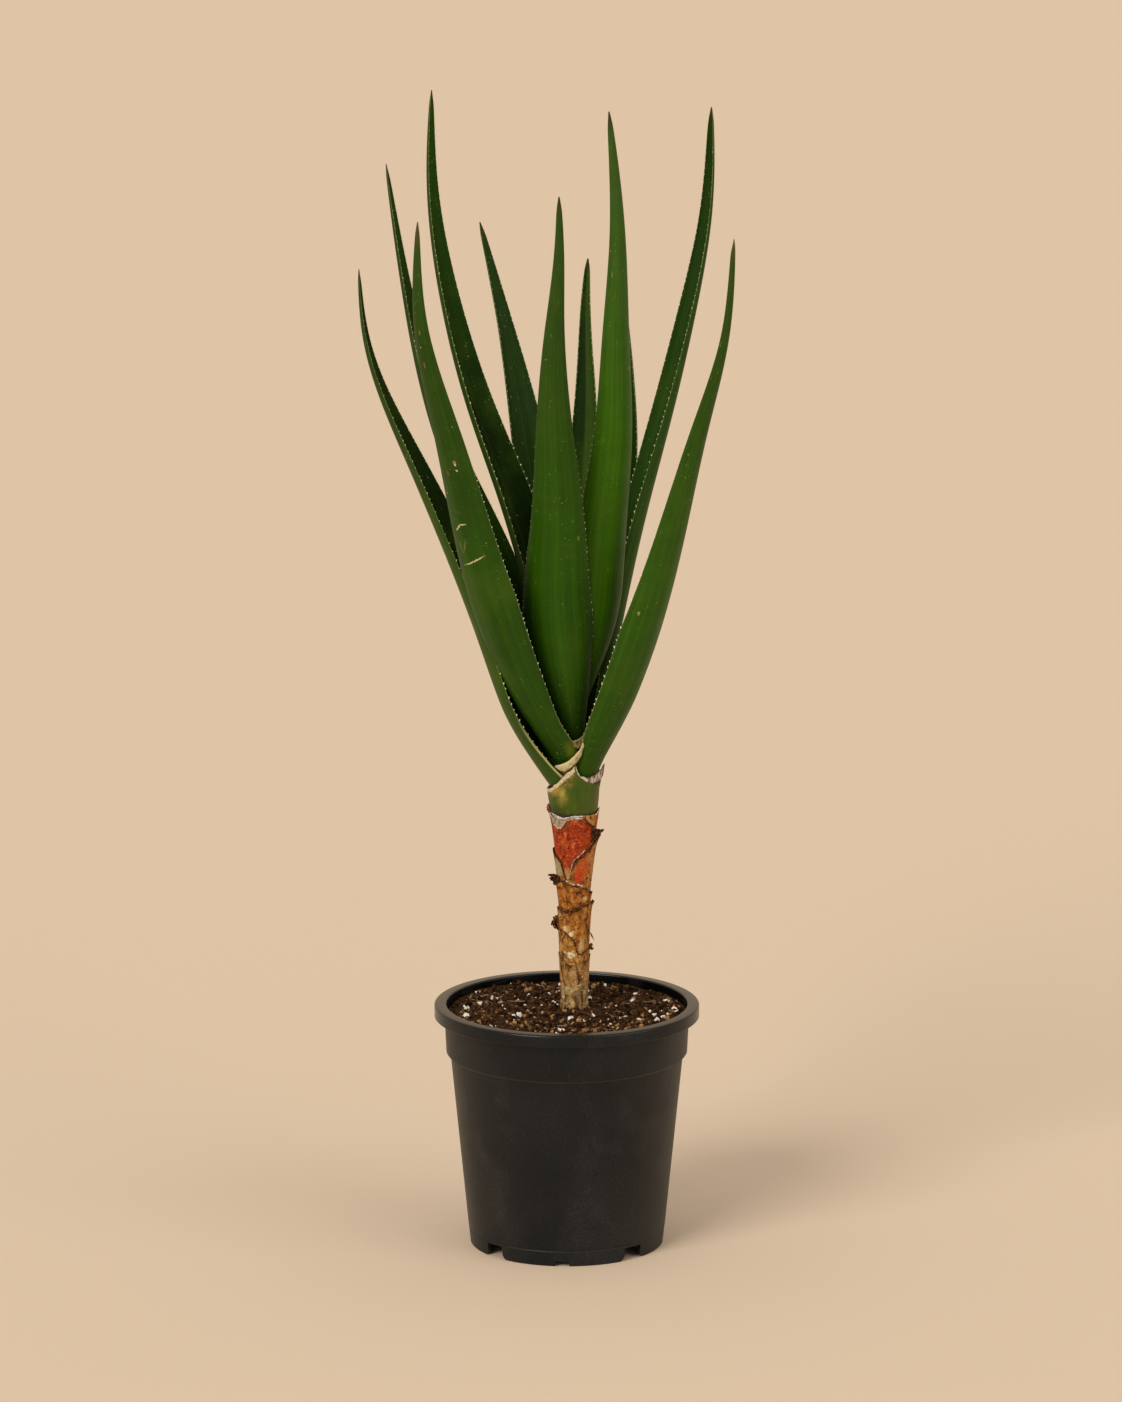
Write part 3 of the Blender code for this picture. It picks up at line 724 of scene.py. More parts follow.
@dataclass(frozen=True)
class MixCrumb:
    """Peat crumb, from near black to brown, whose shade changes from grain to grain."""

    name: str = "peat_crumb"
    dark: Colour = (0.005, 0.0025, 0.001)
    brown: Colour = (0.060, 0.025, 0.008)
    tan: Colour = (0.42, 0.21, 0.08)
    tan_from: float = 0.84
    by_grain: bool = True

    def material(self) -> Material:
        """Builds the material."""
        recipe = Recipe(self.name, 0.95, 0.1)
        fine = recipe.noise(420, 4)
        value = recipe.tagged("shade") if self.by_grain else recipe.noise(160, 3)
        body = recipe.ramp(
            value, (0.0, self.dark), (0.6, self.brown), (self.tan_from, self.brown), (0.99, self.tan)
        )
        body = recipe.shaded(body, fine, (0.3, 0.5), (0.7, 1.3))
        return recipe.finish(body, fine, 0.6)


@dataclass(frozen=True)
class Perlite:
    """White puffed grain, a little stained by the mix."""

    name: str = "perlite"
    stained: Colour = (0.62, 0.50, 0.36)
    cream: Colour = (0.90, 0.80, 0.66)
    white: Colour = (0.95, 0.90, 0.80)

    def material(self) -> Material:
        """Builds the material."""
        recipe = Recipe(self.name, 0.9, 0.15)
        fine = recipe.noise(700, 3)
        stain = recipe.noise(260, 2)
        body = recipe.ramp(fine, (0.3, self.stained), (0.5, self.cream), (0.8, self.white))
        body = recipe.laid(body, (0.22, 0.12, 0.05), stain, (0.54, 0.0), (0.75, 0.7))
        return recipe.finish(body, fine, 0.5)


@dataclass(frozen=True)
class Bark:
    """Dry mottled skin of the stem and the old leaf bases, darker in its wrinkles and along its torn rim."""

    name: str
    low: Colour
    high: Colour
    dark: Colour = (0.060, 0.020, 0.006)
    fleck: Colour = (0.46, 0.24, 0.09)
    flecks: float = 0.4
    grain: float = 1.0
    stretch: float = 0.6
    relief: float = 0.5
    rim: Colour = (0.035, 0.016, 0.008)
    rim_from: float = 0.95
    warmth: Colour = (1.14, 1.28, 1.25)
    marks: tuple[Mark, ...] = ()

    def material(self) -> Material:
        """Builds the material.

        Returns:
            The material. Where the piece has a UV map, along it is 0 at the foot and 1 at the rim.
        """
        recipe = Recipe(self.name, 0.72, 0.16)
        long = recipe.at((1, 1, self.stretch))
        mottle = recipe.noise(190 * self.grain, 5, 0.8, at=long)
        speckle = recipe.noise(620 * self.grain, 3, 0.4)
        wrinkle = recipe.noise(210, 4, 0.9, at=recipe.at((1, 1, 3.4)))
        body = recipe.ramp(mottle, (0.36, self.dark), (0.46, self.low), (0.60, self.high), (0.78, self.fleck))
        body = recipe.shaded(body, speckle, (0.36, 0.62), (0.64, 1.38))
        body = recipe.laid(body, self.dark, wrinkle, (0.56, 0.0), (0.70, 0.5))
        dots = recipe.ramp(recipe.cells(recipe.at((1, 1, 0.7)), 430 * self.grain), (0.12, 1.0), (0.26, 0.0))
        pale = recipe.shaded(dots, mottle, (0.42, 0.0), (0.55, self.flecks))
        body = recipe.mix(pale, body, self.fleck)
        flat = recipe.shifted(recipe.unrolled(), 0.7, 2.5)
        for mark in self.marks:
            tone = recipe.shaded(mark.colour, speckle, (0.36, 0.7), (0.64, 1.3))
            body = recipe.mix(recipe.spot(flat, mark), body, tone)
        along = recipe.parts(recipe.at(uv=True))[1]
        edge = recipe.ramp(along, (self.rim_from, 0.0), (min(0.999, self.rim_from + 0.03), 0.9))
        body = recipe.mix(edge, body, self.rim)
        body = recipe.times(body, self.warmth)
        relief = recipe.mix(0.5, recipe.mix(0.5, mottle, wrinkle), speckle)
        return recipe.finish(body, relief, self.relief)


@dataclass(frozen=True)
class SheathSkin:
    """Green clasping sheath, yellow where it ages, with a dry cream rim on the left and a painted shadow
    along its foot.

    rear_from is millimetres to the left of the front, shadow_from is the height that the painted shadow along
    the foot is measured from, and fades are per millimetre.
    """

    name: str = "green_sheath_skin"
    rear_from: float = 50.0
    rear_fade: float = 0.06
    shadow_from: float = 396.0
    shadow_fade: float = 0.1
    marks: tuple[Mark, ...] = stem_marks(
        (2, 424, (6.5, 12.0), (0.032, 0.062, 0.003), 0, 0.8, 0.9),
        (-14, 430, (4.0, 6.0), (0.12, 0.12, 0.008), 0, 0.7, 0.9),
        (-44, 423, (8.5, 6.0), (0.38, 0.24, 0.045), 42, 0.85, 0.8),
        (-27, 416, (4.6, 10.0), (0.26, 0.20, 0.03), -12, 0.8, 0.9),
        (-27, 421, (2.6, 5.5), (0.40, 0.32, 0.05), -12, 0.85, 0.9),
        (-52, 404, (8.0, 6.5), (0.032, 0.040, 0.004), 0, 0.85, 0.8),
        (28, 407, (7.0, 8.0), (0.055, 0.080, 0.010), 0, 0.8, 0.9),
        (62, 414, (4.5, 13.0), (0.12, 0.085, 0.020), 0, 0.75, 0.8),
    )

    def material(self) -> Material:
        """Builds the material."""
        recipe = Recipe(self.name, 0.5, 0.2)
        across, along, _ = recipe.parts(recipe.at(uv=True))
        streak = recipe.noise(190, 4, 0.3, at=recipe.at((1, 1, 0.3)))
        speckle = recipe.noise(480, 3, 0.5)
        body = recipe.ramp(streak, (0.3, (0.034, 0.060, 0.003)), (0.7, (0.066, 0.095, 0.006)))
        flat = recipe.shifted(recipe.unrolled(), 0.35, 1.8)
        side, height, _ = recipe.parts(flat)
        left = recipe.ramp(side, (0.0, 1.0), (0.4, 0.0))
        past = recipe.sum("MULTIPLY", recipe.sum("ADD", side, self.rear_from), self.rear_fade)
        rear = recipe.ramp(past, (0.0, 0.0), (1.0, 1.0))
        left = recipe.times(left, rear)
        body = recipe.marked(body, flat, self.marks)
        aged = recipe.ramp(along, (0.66, 0.0), (0.84, 0.9), (0.9, 0.4))
        scorch = recipe.shaded(aged, speckle, (0.48, 0.0), (0.60, 1.0))
        body = recipe.mix(recipe.times(scorch, left), body, (0.34, 0.16, 0.035))
        rim = recipe.ramp(speckle, (0.35, (0.40, 0.28, 0.14)), (0.6, (0.66, 0.54, 0.33)))
        band = recipe.times(recipe.ramp(along, (0.865, 0.0), (0.915, 1.0)), left)
        body = recipe.mix(band, body, rim)
        body = recipe.laid(body, (0.10, 0.055, 0.022), along, (0.985, 0.0), (1.0, 0.9))
        # Painted shadow along the foot, where the sheath overhangs the scale's rim.
        rise = recipe.sum("MULTIPLY", recipe.sum("SUBTRACT", height, self.shadow_from), self.shadow_fade)
        foot = recipe.ramp(rise, (0.42, 0.95), (0.70, 0.0))
        body = recipe.mix(foot, body, (0.022, 0.014, 0.006))
        return recipe.finish(body, recipe.mix(0.4, streak, speckle), 0.4)


@dataclass(frozen=True)
class DryPaper:
    """Papery dead skin, specked, with brown torn edges."""

    name: str = "dry_paper"
    pale: Colour = (0.62, 0.53, 0.42)
    middle: Colour = (0.42, 0.33, 0.24)
    speck: Colour = (0.13, 0.075, 0.045)
    edge: Colour = (0.06, 0.03, 0.015)
    edge_from: float = 0.9
    foot: Colour = (0.035, 0.018, 0.008)
    foot_to: float = 0.0
    tip_from: float = 0.0

    def material(self) -> Material:
        """Builds the material."""
        recipe = Recipe(self.name, 0.8, 0.15)
        across, along, _ = recipe.parts(recipe.at(uv=True))
        streak = recipe.noise(330, 4, 0.6, at=recipe.at((1, 1, 0.6)))
        fine = recipe.noise(900, 3, 0.3)
        body = recipe.ramp(streak, (0.36, self.speck), (0.45, self.middle), (0.62, self.pale))
        body = recipe.shaded(body, fine, (0.35, 0.72), (0.65, 1.2))
        body = recipe.laid(body, self.edge, along, (self.edge_from, 0.0), (1.0, 0.9))
        if self.foot_to:
            body = recipe.laid(body, self.foot, along, (0.6 * self.foot_to, 0.95), (self.foot_to, 0.0))
        if self.tip_from:
            body = recipe.laid(body, self.edge, across, (self.tip_from, 0.0), (self.tip_from + 0.08, 0.9))
        return recipe.finish(body, streak, 0.5)


@dataclass(frozen=True)
class Husk:
    """Dark hard dead tissue of the torn corners and the rope-like rings."""

    name: str
    dark: Colour = (0.026, 0.009, 0.003)
    light: Colour = (0.15, 0.052, 0.013)
    fleck: Colour = (0.32, 0.15, 0.05)

    def material(self) -> Material:
        """Builds the material."""
        recipe = Recipe(self.name, 0.85, 0.08)
        coarse = recipe.noise(380, 4, 0.8)
        fine = recipe.noise(1200, 3)
        body = recipe.ramp(coarse, (0.42, self.dark), (0.54, self.light), (0.70, self.fleck))
        body = recipe.shaded(body, fine, (0.35, 0.6), (0.65, 1.4))
        return recipe.finish(body, recipe.mix(0.5, coarse, fine), 0.6)


@dataclass
class NurseryPot:
    """The moulded pot with its rim, collar, foot, drain notches and floor slots. Millimetres and degrees."""

    segments: int = 144
    height: float = 223.0
    rim_radius: float = 120.0
    rim_depth: float = 11.5
    rim_wall: float = 2.2
    rim_round: float = 1.8
    collar: Pair = (111.2, 109.2)
    collar_foot: float = 178.5
    shoulder: Pair = (105.3, 175.5)
    body_foot: float = 89.4
    crease: float = 14.8
    foot: Pair = (89.0, 87.6)
    foot_wall: float = 3.4
    wall: float = 2.1
    floor_top: float = 16.8
    floor_thickness: float = 2.4
    notches: int = 8
    drain_turn: float = -92.5
    tall_notch: Pair = (19.0, 12.4)
    low_notch: Pair = (12.0, 4.4)
    notch_round: Pair = (6.0, 1.5)
    slot: Pair = (30.0, 9.0)
    slot_middle: float = 58.0
    hole: float = 6.0
    skin: BlackPlastic = BlackPlastic()
    # A darker, less glossy copy of the plastic for the inner wall: painted shade.
    shaded_lining: BlackPlastic = BlackPlastic(
        "black_plastic_inside_shade", (0.0012, 0.0014, 0.0015), (0.004, 0.004, 0.004), 0.06
    )

    def rounded(self, centre: Pair, radius: float, start: float, end: float, steps: int = 4) -> list[Pair]:
        """Points of a rounded corner.

        Args:
            centre: Radius and height of the corner's centre.
            radius: Its radius.
            start: Degrees at which it starts.
            end: Degrees at which it ends.
            steps: Straight pieces in it.

        Returns:
            The corner's points as (radius, height) pairs.
        """
        turns = [math.radians(start + (end - start) * k / steps) for k in range(steps + 1)]
        return [(centre[0] + radius * math.cos(t), centre[1] + radius * math.sin(t)) for t in turns]

    def outline(self) -> list[Pair]:
        """The wall, rim, foot and floor as one closed outline, from the foot's inner edge outwards and up.

        Returns:
            (radius, height) pairs.
        """
        underside = self.floor_top - self.floor_thickness
        lip_foot = self.height - self.rim_depth
        foot_inner = self.foot[1] - self.foot_wall
        inner_top = self.collar[0] - self.wall
        wide, high, bend = self.rim_radius, self.height, self.rim_round
        points = [(foot_inner, 0.0), (self.foot[1] - 0.8, 0.0), (self.foot[1], 0.8)]
        points += [(self.foot[0], self.crease - 1.2), (self.foot[0] - 0.5, self.crease - 0.4)]
        points += [(self.body_foot - 0.4, self.crease + 0.4), (self.body_foot, self.crease + 1.4)]
        points += [self.shoulder, (self.shoulder[0] + 0.4, self.shoulder[1] + 1.0)]
        points += [(self.collar[1] - 0.8, self.collar_foot - 0.8), (self.collar[1], self.collar_foot + 0.4)]
        points += [(self.collar[0], high - self.rim_wall - 1.0), (self.collar[0] + 1.0, high - self.rim_wall)]
        lip_inner, lip_top = wide - self.rim_wall, high - self.rim_wall
        points += [(lip_inner - 0.8, lip_top), (lip_inner, lip_top - 0.8)]
        points += [(lip_inner, lip_foot + 0.3), (lip_inner + 0.5, lip_foot)]
        points += [(wide - 0.6, lip_foot), (wide - 0.1, lip_foot + 0.5)]
        points += self.rounded((wide - bend, high - bend), bend, 0, 90)
        points += [(inner_top + 1.6, high)]
        points += self.rounded((inner_top + 1.2, high - 1.2), 1.2, 90, 180, 3)
        points += [(self.collar[1] - self.wall, self.collar_foot)]
        points += [(self.shoulder[0] - self.wall, self.shoulder[1])]
        points += [(self.body_foot - self.wall, self.floor_top), (self.hole, self.floor_top)]
        points += [(self.hole, underside), (foot_inner + 1.2, underside)]
        return points

    def cutter(self, size: Triple, middle: Vector, azimuth: float, round_foot: float) -> Thing:
        """A block that cuts a notch or a slot, flared below so that the foot's corners are left round.

        Args:
            size: Length along the radius, width and height.
            middle: Its middle.
            azimuth: Degrees that it is turned about +Z.
            round_foot: Radius left on the corners beside the notch, or 0.

        Returns:
            The cutter.
        """
        clear()
        bpy.ops.mesh.primitive_cube_add(size=MM)
        block = bpy.context.active_object
        with editing(block):
            bpy.ops.transform.resize(value=size)
            if round_foot:
                pick(block, lambda place: place.z < 0)
                base = -middle.z * MM
                bpy.ops.transform.translate(value=(0, 0, base + round_foot * MM + size[2] / 2 * MM))
                steps = 5
                turns = [math.pi / 2 * k / steps for k in range(steps + 1)]
                for start, end in zip(turns, turns[1:]):
                    drop = round_foot * (math.sin(end) - math.sin(start))
                    before, wide = (size[1] / 2 + round_foot * (1 - math.cos(turn)) for turn in (start, end))
                    extrude((0, 0, -drop * MM))
                    bpy.ops.transform.resize(value=(1, wide / before, 1))
                extrude((0, 0, -2 * MM))
            bpy.ops.mesh.select_all(action="SELECT")
            bpy.ops.mesh.normals_make_consistent(inside=False)
        block.data.transform(Matrix.Translation(middle * MM) @ Matrix.Rotation(math.radians(azimuth), 4, "Z"))
        return block

    def inside(self, place: Vector) -> bool:
        """Tells the inner wall, which is painted darker as shade, from the rest.

        Args:
            place: A place in the pot's mesh, in metres.

        Returns:
            Whether it is on the inner wall, below the rim's rounding.
        """
        radius, height = math.hypot(place.x, place.y) / MM, place.z / MM
        if height > self.shoulder[1] + 0.5:
            rise = (height - self.collar_foot) / (self.height - self.collar_foot)
            outer = between(self.collar[::-1], rise)
        else:
            rise = (height - self.crease) / (self.shoulder[1] - self.crease)
            outer = between((self.body_foot, self.shoulder[0]), rise)
        return self.floor_top - 0.1 < height < self.height - 0.9 and radius < outer - self.wall / 2

    def build(self) -> Thing:
        """Turns the pot, cuts its drainage and dresses it.

        Returns:
            The pot.
        """
        pot = turned("nursery_pot", self.outline(), self.segments, loop=True)
        reach = 2 * (self.foot[0] - self.foot[1] + self.foot_wall) + 6
        middle = self.foot[1] - self.foot_wall / 2
        cutters = []
        apart = 360 / self.notches
        for step in range(self.notches):
            azimuth = self.drain_turn + apart * step
            width, height = self.tall_notch if step % 2 else self.low_notch
            corner = self.notch_round[0 if step % 2 else 1]
            place = leaning(azimuth, 90) * middle
            place.z = height / 2
            cutters.append(self.cutter((reach, width, height), place, azimuth, corner))
        for step in range(1, self.notches, 2):
            azimuth = self.drain_turn + apart * step
            place = leaning(azimuth, 90) * self.slot_middle
            place.z = self.floor_top - self.floor_thickness / 2
            cutters.append(self.cutter((*self.slot, self.floor_thickness + 2), place, azimuth, 0))
        for block in cutters:
            modify(pot, "BOOLEAN", operation="DIFFERENCE", solver="EXACT", object=block)
        discard(*cutters)
        for finish in (self.skin, self.shaded_lining):
            pot.data.materials.append(finish.material())
        with editing(pot):
            pick(pot, self.inside)
            pot.active_material_index = 1
            bpy.ops.object.material_slot_assign()
        return settle(pot, Slot.POT, "pot", angle=32)


@dataclass
class PottingMix:
    """The mix with its crumbs, bark chips, perlite and root fibres. Millimetres."""

    top: float = 215.2
    mound: float = 1.6
    mound_radius: float = 62.0
    sides: tuple[Pair, ...] = ((86.4, 17.1), (102.3, 175.0), (106.2, 179.0))
    edge: float = 107.9
    stem_radius: float = 12.0
    rings: int = 44
    segments: int = 140
    crumbs: int = 3000
    chips: int = 560
    perlite: int = 110
    fibres: int = 190
    seed: int = 7

    def level(self, x: float, y: float) -> float:
        """Height of the bed before its crumb is raised.

        Args:
            x: Millimetres to the right of the pot's axis.
            y: Millimetres behind it.

        Returns:
            The height, in millimetres.
        """
        near = 1 - math.hypot(x - STEM_AXIS[0], y - STEM_AXIS[1]) / self.mound_radius
        wave = math.sin(x / 9.5 + 0.8) * math.sin(y / 8.1 + 2.1) + 0.6 * math.sin(x / 17 - y / 13)
        return self.top + self.mound * smooth(near) + 0.9 * wave

    def bed(self) -> Thing:
        """The closed body of the mix, with an uneven top.

        Returns:
            The bed.
        """
        rows = [*self.sides, (self.edge, self.top)]
        rows += [(self.edge * (1 - (k + 1) / (self.rings + 1)), self.top) for k in range(self.rings)]
        bed = turned("mix_bed", rows, self.segments)
        mesh = bed.data
        group = bed.vertex_groups.new(name="top")
        for vert in mesh.vertices:
            if vert.co.z > (self.top - 1) * MM:
                x, y = vert.co.x / MM, vert.co.y / MM
                vert.co.z = self.level(x, y) * MM
                group.add([vert.index], smooth((self.edge - math.hypot(x, y)) / 5 + 0.3), "REPLACE")
        for kind, size, strength in (("CLOUDS", 0.009, 3.2), ("VORONOI", 0.0045, 2.6)):
            pattern = bpy.data.textures.new("mix_" + kind.lower(), kind)
            pattern.noise_scale = size
            modify(
                bed, "DISPLACE", texture=pattern, strength=strength * MM, mid_level=0.5,
                direction="Z", vertex_group="top", texture_coords="LOCAL",
            )
        bed.data.materials.append(MixCrumb("peat_bed", by_grain=False, tan_from=0.62).material())
        return bed

    def lump(self, size: Triple, round_by: float, rough: float, seed: int) -> Thing:
        """A small irregular grain, about 1 mm across before its size is given.

        Args:
            size: Stretch on each axis.
            round_by: Width of the bevel on its edges.
            rough: How far its corners are moved about.
            seed: Seed of those moves.

        Returns:
            The grain.
        """
        clear()
        bpy.ops.mesh.primitive_cube_add(size=MM)
        grain = bpy.context.active_object
        with editing(grain):
            bpy.ops.mesh.bevel(offset=round_by * MM, segments=1)
            bpy.ops.transform.vertex_random(offset=rough * MM, seed=seed)
            bpy.ops.transform.resize(value=size)
        return grain

    def fibre(self, bend: float) -> Thing:
        """A thin curved root fibre, 1 mm long before its size is given.

        Args:
            bend: Degrees that it turns from one piece to the next.

        Returns:
            The fibre.
        """
        clear()
        turn = (0, math.pi / 2, 0)
        bpy.ops.mesh.primitive_circle_add(vertices=4, radius=0.03 * MM, fill_type="NGON", rotation=turn)
        root = bpy.context.active_object
        root.data.transform(root.matrix_world)
        root.matrix_world = Matrix()
        steps = 7
        way, place = 0.0, Vector((0, 0, 0))
        with editing(root):
            for k in range(steps):
                move = Vector((math.cos(way), math.sin(way), 0)) * MM / steps
                place += move
                extrude(move)
                way += math.radians(bend * (0.6 + 0.15 * k))
            bpy.ops.mesh.select_all(action="SELECT")
            bpy.ops.mesh.normals_make_consistent(inside=False)
        return root

    def scatter(
        self, bed: Thing, count: int, sizes: Pair, picker: random.Random, flat: float, sink: float
    ) -> list[Matrix]:
        """Places on the bed, turned and sized at random.

        Args:
            bed: The bed.
            count: How many places.
            sizes: Smallest and largest size.
            picker: The random source.
            flat: Most degrees that a grain is tipped over.
            sink: Share of its size that is below the bed.

        Returns:
            A matrix for each grain, in metres.
        """
        tree = BVHTree.FromObject(bed, bpy.context.evaluated_depsgraph_get())
        places = []
        while len(places) < count:
            radius = self.edge * math.sqrt(picker.random())
            turn = picker.uniform(0, math.tau)
            size = between(sizes, picker.random() ** 1.8)
            x, y = radius * math.cos(turn), radius * math.sin(turn)
            if radius > self.edge - size or math.dist((x, y), STEM_AXIS) < self.stem_radius + size / 2:
                continue
            hit = tree.ray_cast(Vector((x, y, 400)) * MM, Vector((0, 0, -1)))[0]
            tip = Matrix.Rotation(math.radians(picker.uniform(-flat, flat)), 4, "X")
            tip @= Matrix.Rotation(math.radians(picker.uniform(-flat, flat)), 4, "Y")
            spin = Matrix.Rotation(picker.uniform(0, math.tau), 4, "Z")
            lift = Vector((0, 0, (0.5 - sink) * size * MM))
            places.append(Matrix.Translation(hit + lift) @ tip @ spin @ Matrix.Scale(size, 4))
        return places

    def build(self) -> list[Thing]:
        """Makes the bed and strews its grains.

        Returns:
            The bed and the strewn pieces.
        """
        picker = random.Random(self.seed)
        bed = self.bed()
        lumps = [self.lump((1, 0.8, 0.7), 0.26, 0.22, seed) for seed in range(5)]
        flakes = [self.lump((1, 0.55, 0.22), 0.12, 0.12, seed) for seed in range(4)]
        puffs = [self.lump((1, 0.70, 0.56), 0.2, 0.34, seed) for seed in range(7)]
        roots = [self.fibre(bend) for bend in (9, 16, 25, -13)]
        strewn = (
            ("mix_crumbs", lumps, self.crumbs, (1.4, 5.2), 80, 0.3, MixCrumb()),
            ("bark_chips", flakes, self.chips, (1.2, 5.0), 40, 0.22,
             MixCrumb("bark_chip", (0.03, 0.014, 0.006), (0.17, 0.078, 0.024), (0.58, 0.32, 0.13), 0.55)),
            ("perlite_grains", puffs, self.perlite, (1.5, 7.0), 60, 0.36, Perlite()),
            ("root_fibres", roots, self.fibres, (7.0, 20.0), 14, 0.42,
             MixCrumb("root_fibre", (0.03, 0.013, 0.006), (0.15, 0.075, 0.034), (0.36, 0.22, 0.12), 0.5)),
        )
        pieces = [settle(bed, Slot.MIX, "potting_mix", angle=60)]
        bed.data.transform(Matrix.Translation(-POT_AXIS))
        bpy.context.view_layer.update()
        for name, shapes, count, sizes, flat, sink, finish in strewn:
            piece = strew(name, shapes, self.scatter(bed, count, sizes, picker, flat, sink))
            piece.data.materials.append(finish.material())
            pieces.append(settle(piece, Slot.MIX, angle=50))
        bed.data.transform(Matrix.Translation(POT_AXIS))
        discard(*lumps, *flakes, *puffs, *roots)
        return pieces


@dataclass
class StemCore:
    """The living stem, from its buried foot to the growing tip. Millimetres."""

    profile: tuple[Pair, ...] = (
        (4.0, 148.0), (9.0, 156.0), (12.7, 176.0), (12.8, 222.0), (12.6, 240.0), (11.5, 245.0), (11.3, 276.0),
        (11.4, 300.0), (11.7, 318.0), (13.2, 340.0), (16.0, 368.0), (17.9, 390.0), (18.9, 412.0),
            (18.9, 423.0),
        (18.4, 425.0), (13.2, 440.0), (8.0, 455.0), (3.0, 469.0), (2.8, 486.0), (1.0, 488.0),
    )
    segments: int = 64
    step: float = 2.5

    def build(self) -> Thing:
        """Turns the stem and wrinkles it.

        Returns:
            The stem.
        """
        rings = [self.profile[0]]
        for (wide, low), (next_wide, high) in zip(self.profile, self.profile[1:]):
            count = max(1, round((high - low) / self.step))
            for k in range(1, count + 1):
                rings.append((wide + (next_wide - wide) * k / count, low + (high - low) * k / count))
        stem = turned("stem_core", rings, self.segments)
        pattern = bpy.data.textures.new("stem_wrinkles", "CLOUDS")
        pattern.noise_scale = 0.006
        modify(
            stem, "DISPLACE", texture=pattern, strength=1.2 * MM, mid_level=0.6,
            direction="NORMAL", texture_coords="LOCAL",
        )
        stem.data.transform(Matrix.Translation(Vector((*STEM_AXIS, 0)) * MM))
        finish = Bark(
            "stem_bark", (0.21, 0.10, 0.030), (0.35, 0.19, 0.075), (0.07, 0.026, 0.008), (0.54, 0.37, 0.20),
            rim_from=2.0,
            marks=stem_marks(
                (-54, 229, (3.6, 1.8), (0.66, 0.46, 0.26), -8),
                (-8, 223, (4.2, 4.0), (0.52, 0.28, 0.10), 40, 0.8, 0.7),
                (16, 232, (3.4, 4.6), (0.12, 0.06, 0.03), 0, 0.8, 0.8),
                (-22, 224, (3.0, 3.0), (0.14, 0.06, 0.03), 0, 0.7, 0.8),
                (22, 240, (6.5, 0.6), (0.14, 0.07, 0.03), 24, 0.8, 0.8),
                (-30, 240, (5.0, 8.0), (0.50, 0.34, 0.18), 0, 0.4, 0.9),
            ),
        )
        stem.data.materials.append(finish.material())
        return settle(stem, Slot.STEM, "stem", angle=60)


@dataclass
class Spur:
    """A torn corner on a scale's rim: where it stands, how far it rises and reaches, and its half width."""

    azimuth: float
    rise: float
    reach: float
    half: float = 16.0

    def away(self, azimuth: float) -> float:
        """How far this azimuth is from it, as a share of its half width."""
        return abs((azimuth - self.azimuth + 180) % 360 - 180) / self.half


@dataclass
class DryScale:
    """The base of an old leaf round the stem, a thin cup whose rim rises, dips and curls. Millimetres."""

    number: int
    foot: float
    outer: Pair
    rim: tuple[Pair, ...]
    finish: Bark
    spurs: tuple[Spur, ...] = ()
    waves: tuple[Triple, ...] = ((7, 0.5, 20), (11, 0.5, 70), (19, 0.4, 10), (31, 0.35, 0))
    flare: float = 0.8
    thickness: float = 0.7
    stout: float = 1.7
    columns: int = 180
    rows: int = 14

    def place(self, around: float, up: float) -> Vector:
        """The place on the cup's outer skin.

        Args:
            around: Share of the way round the stem, from +X.
            up: Share of the height, from the foot to the rim.

        Returns:
            The place, in millimetres.
        """
        azimuth = 360 * around
        crest = max(height for _, height in self.rim)
        top = eased(self.rim, azimuth) + ripple(azimuth, self.waves)
        curl = 0.0
        for spur in self.spurs:
            share = max(0.0, 1 - spur.away(azimuth)) ** 1.3
            top += spur.rise * share
            curl += spur.reach * share
        height = between((self.foot, top), up)
        widen = max(0.0, (height - self.foot) / (crest - self.foot)) ** 1.2
        outer = between(self.outer, min(1.1, widen))
        outer += (curl + self.flare * 0.5) * max(0.0, 4 * up - 3) ** 1.5
        outer += ripple(azimuth, ((5, 0.22, 40 * self.number), (9, 0.18, 15), (17, 0.1, 60))) * up
        return on_stem(azimuth, outer, height)

    def build(self) -> Thing:
        """Rolls the scale, gives it its thickness and dresses it.

        Returns:
            The scale.
        """
        scale = sheet(f"scale_{self.number}", self.columns, self.rows, self.place)
        seal(scale)
        group = scale.vertex_groups.new(name="thickness")
        for vert in scale.data.vertices:
            place = vert.co / MM - Vector((*STEM_AXIS, 0))
            azimuth = math.degrees(math.atan2(place.y, place.x))
            stout = 0.0
            for spur in self.spurs:
                near = smooth((place.z - eased(self.rim, azimuth) + 3) / 4)
                stout = max(stout, smooth(1.2 - spur.away(azimuth)) * near)
            group.add([vert.index], between((self.thickness / self.stout, 1.0), stout), "REPLACE")
        modify(scale, "SOLIDIFY", thickness=self.stout * MM, offset=-1.0, vertex_group="thickness")
        scale.data.materials.append(self.finish.material())
        return settle(scale, Slot.SCALE, f"dry_scale_{self.number}", angle=50)


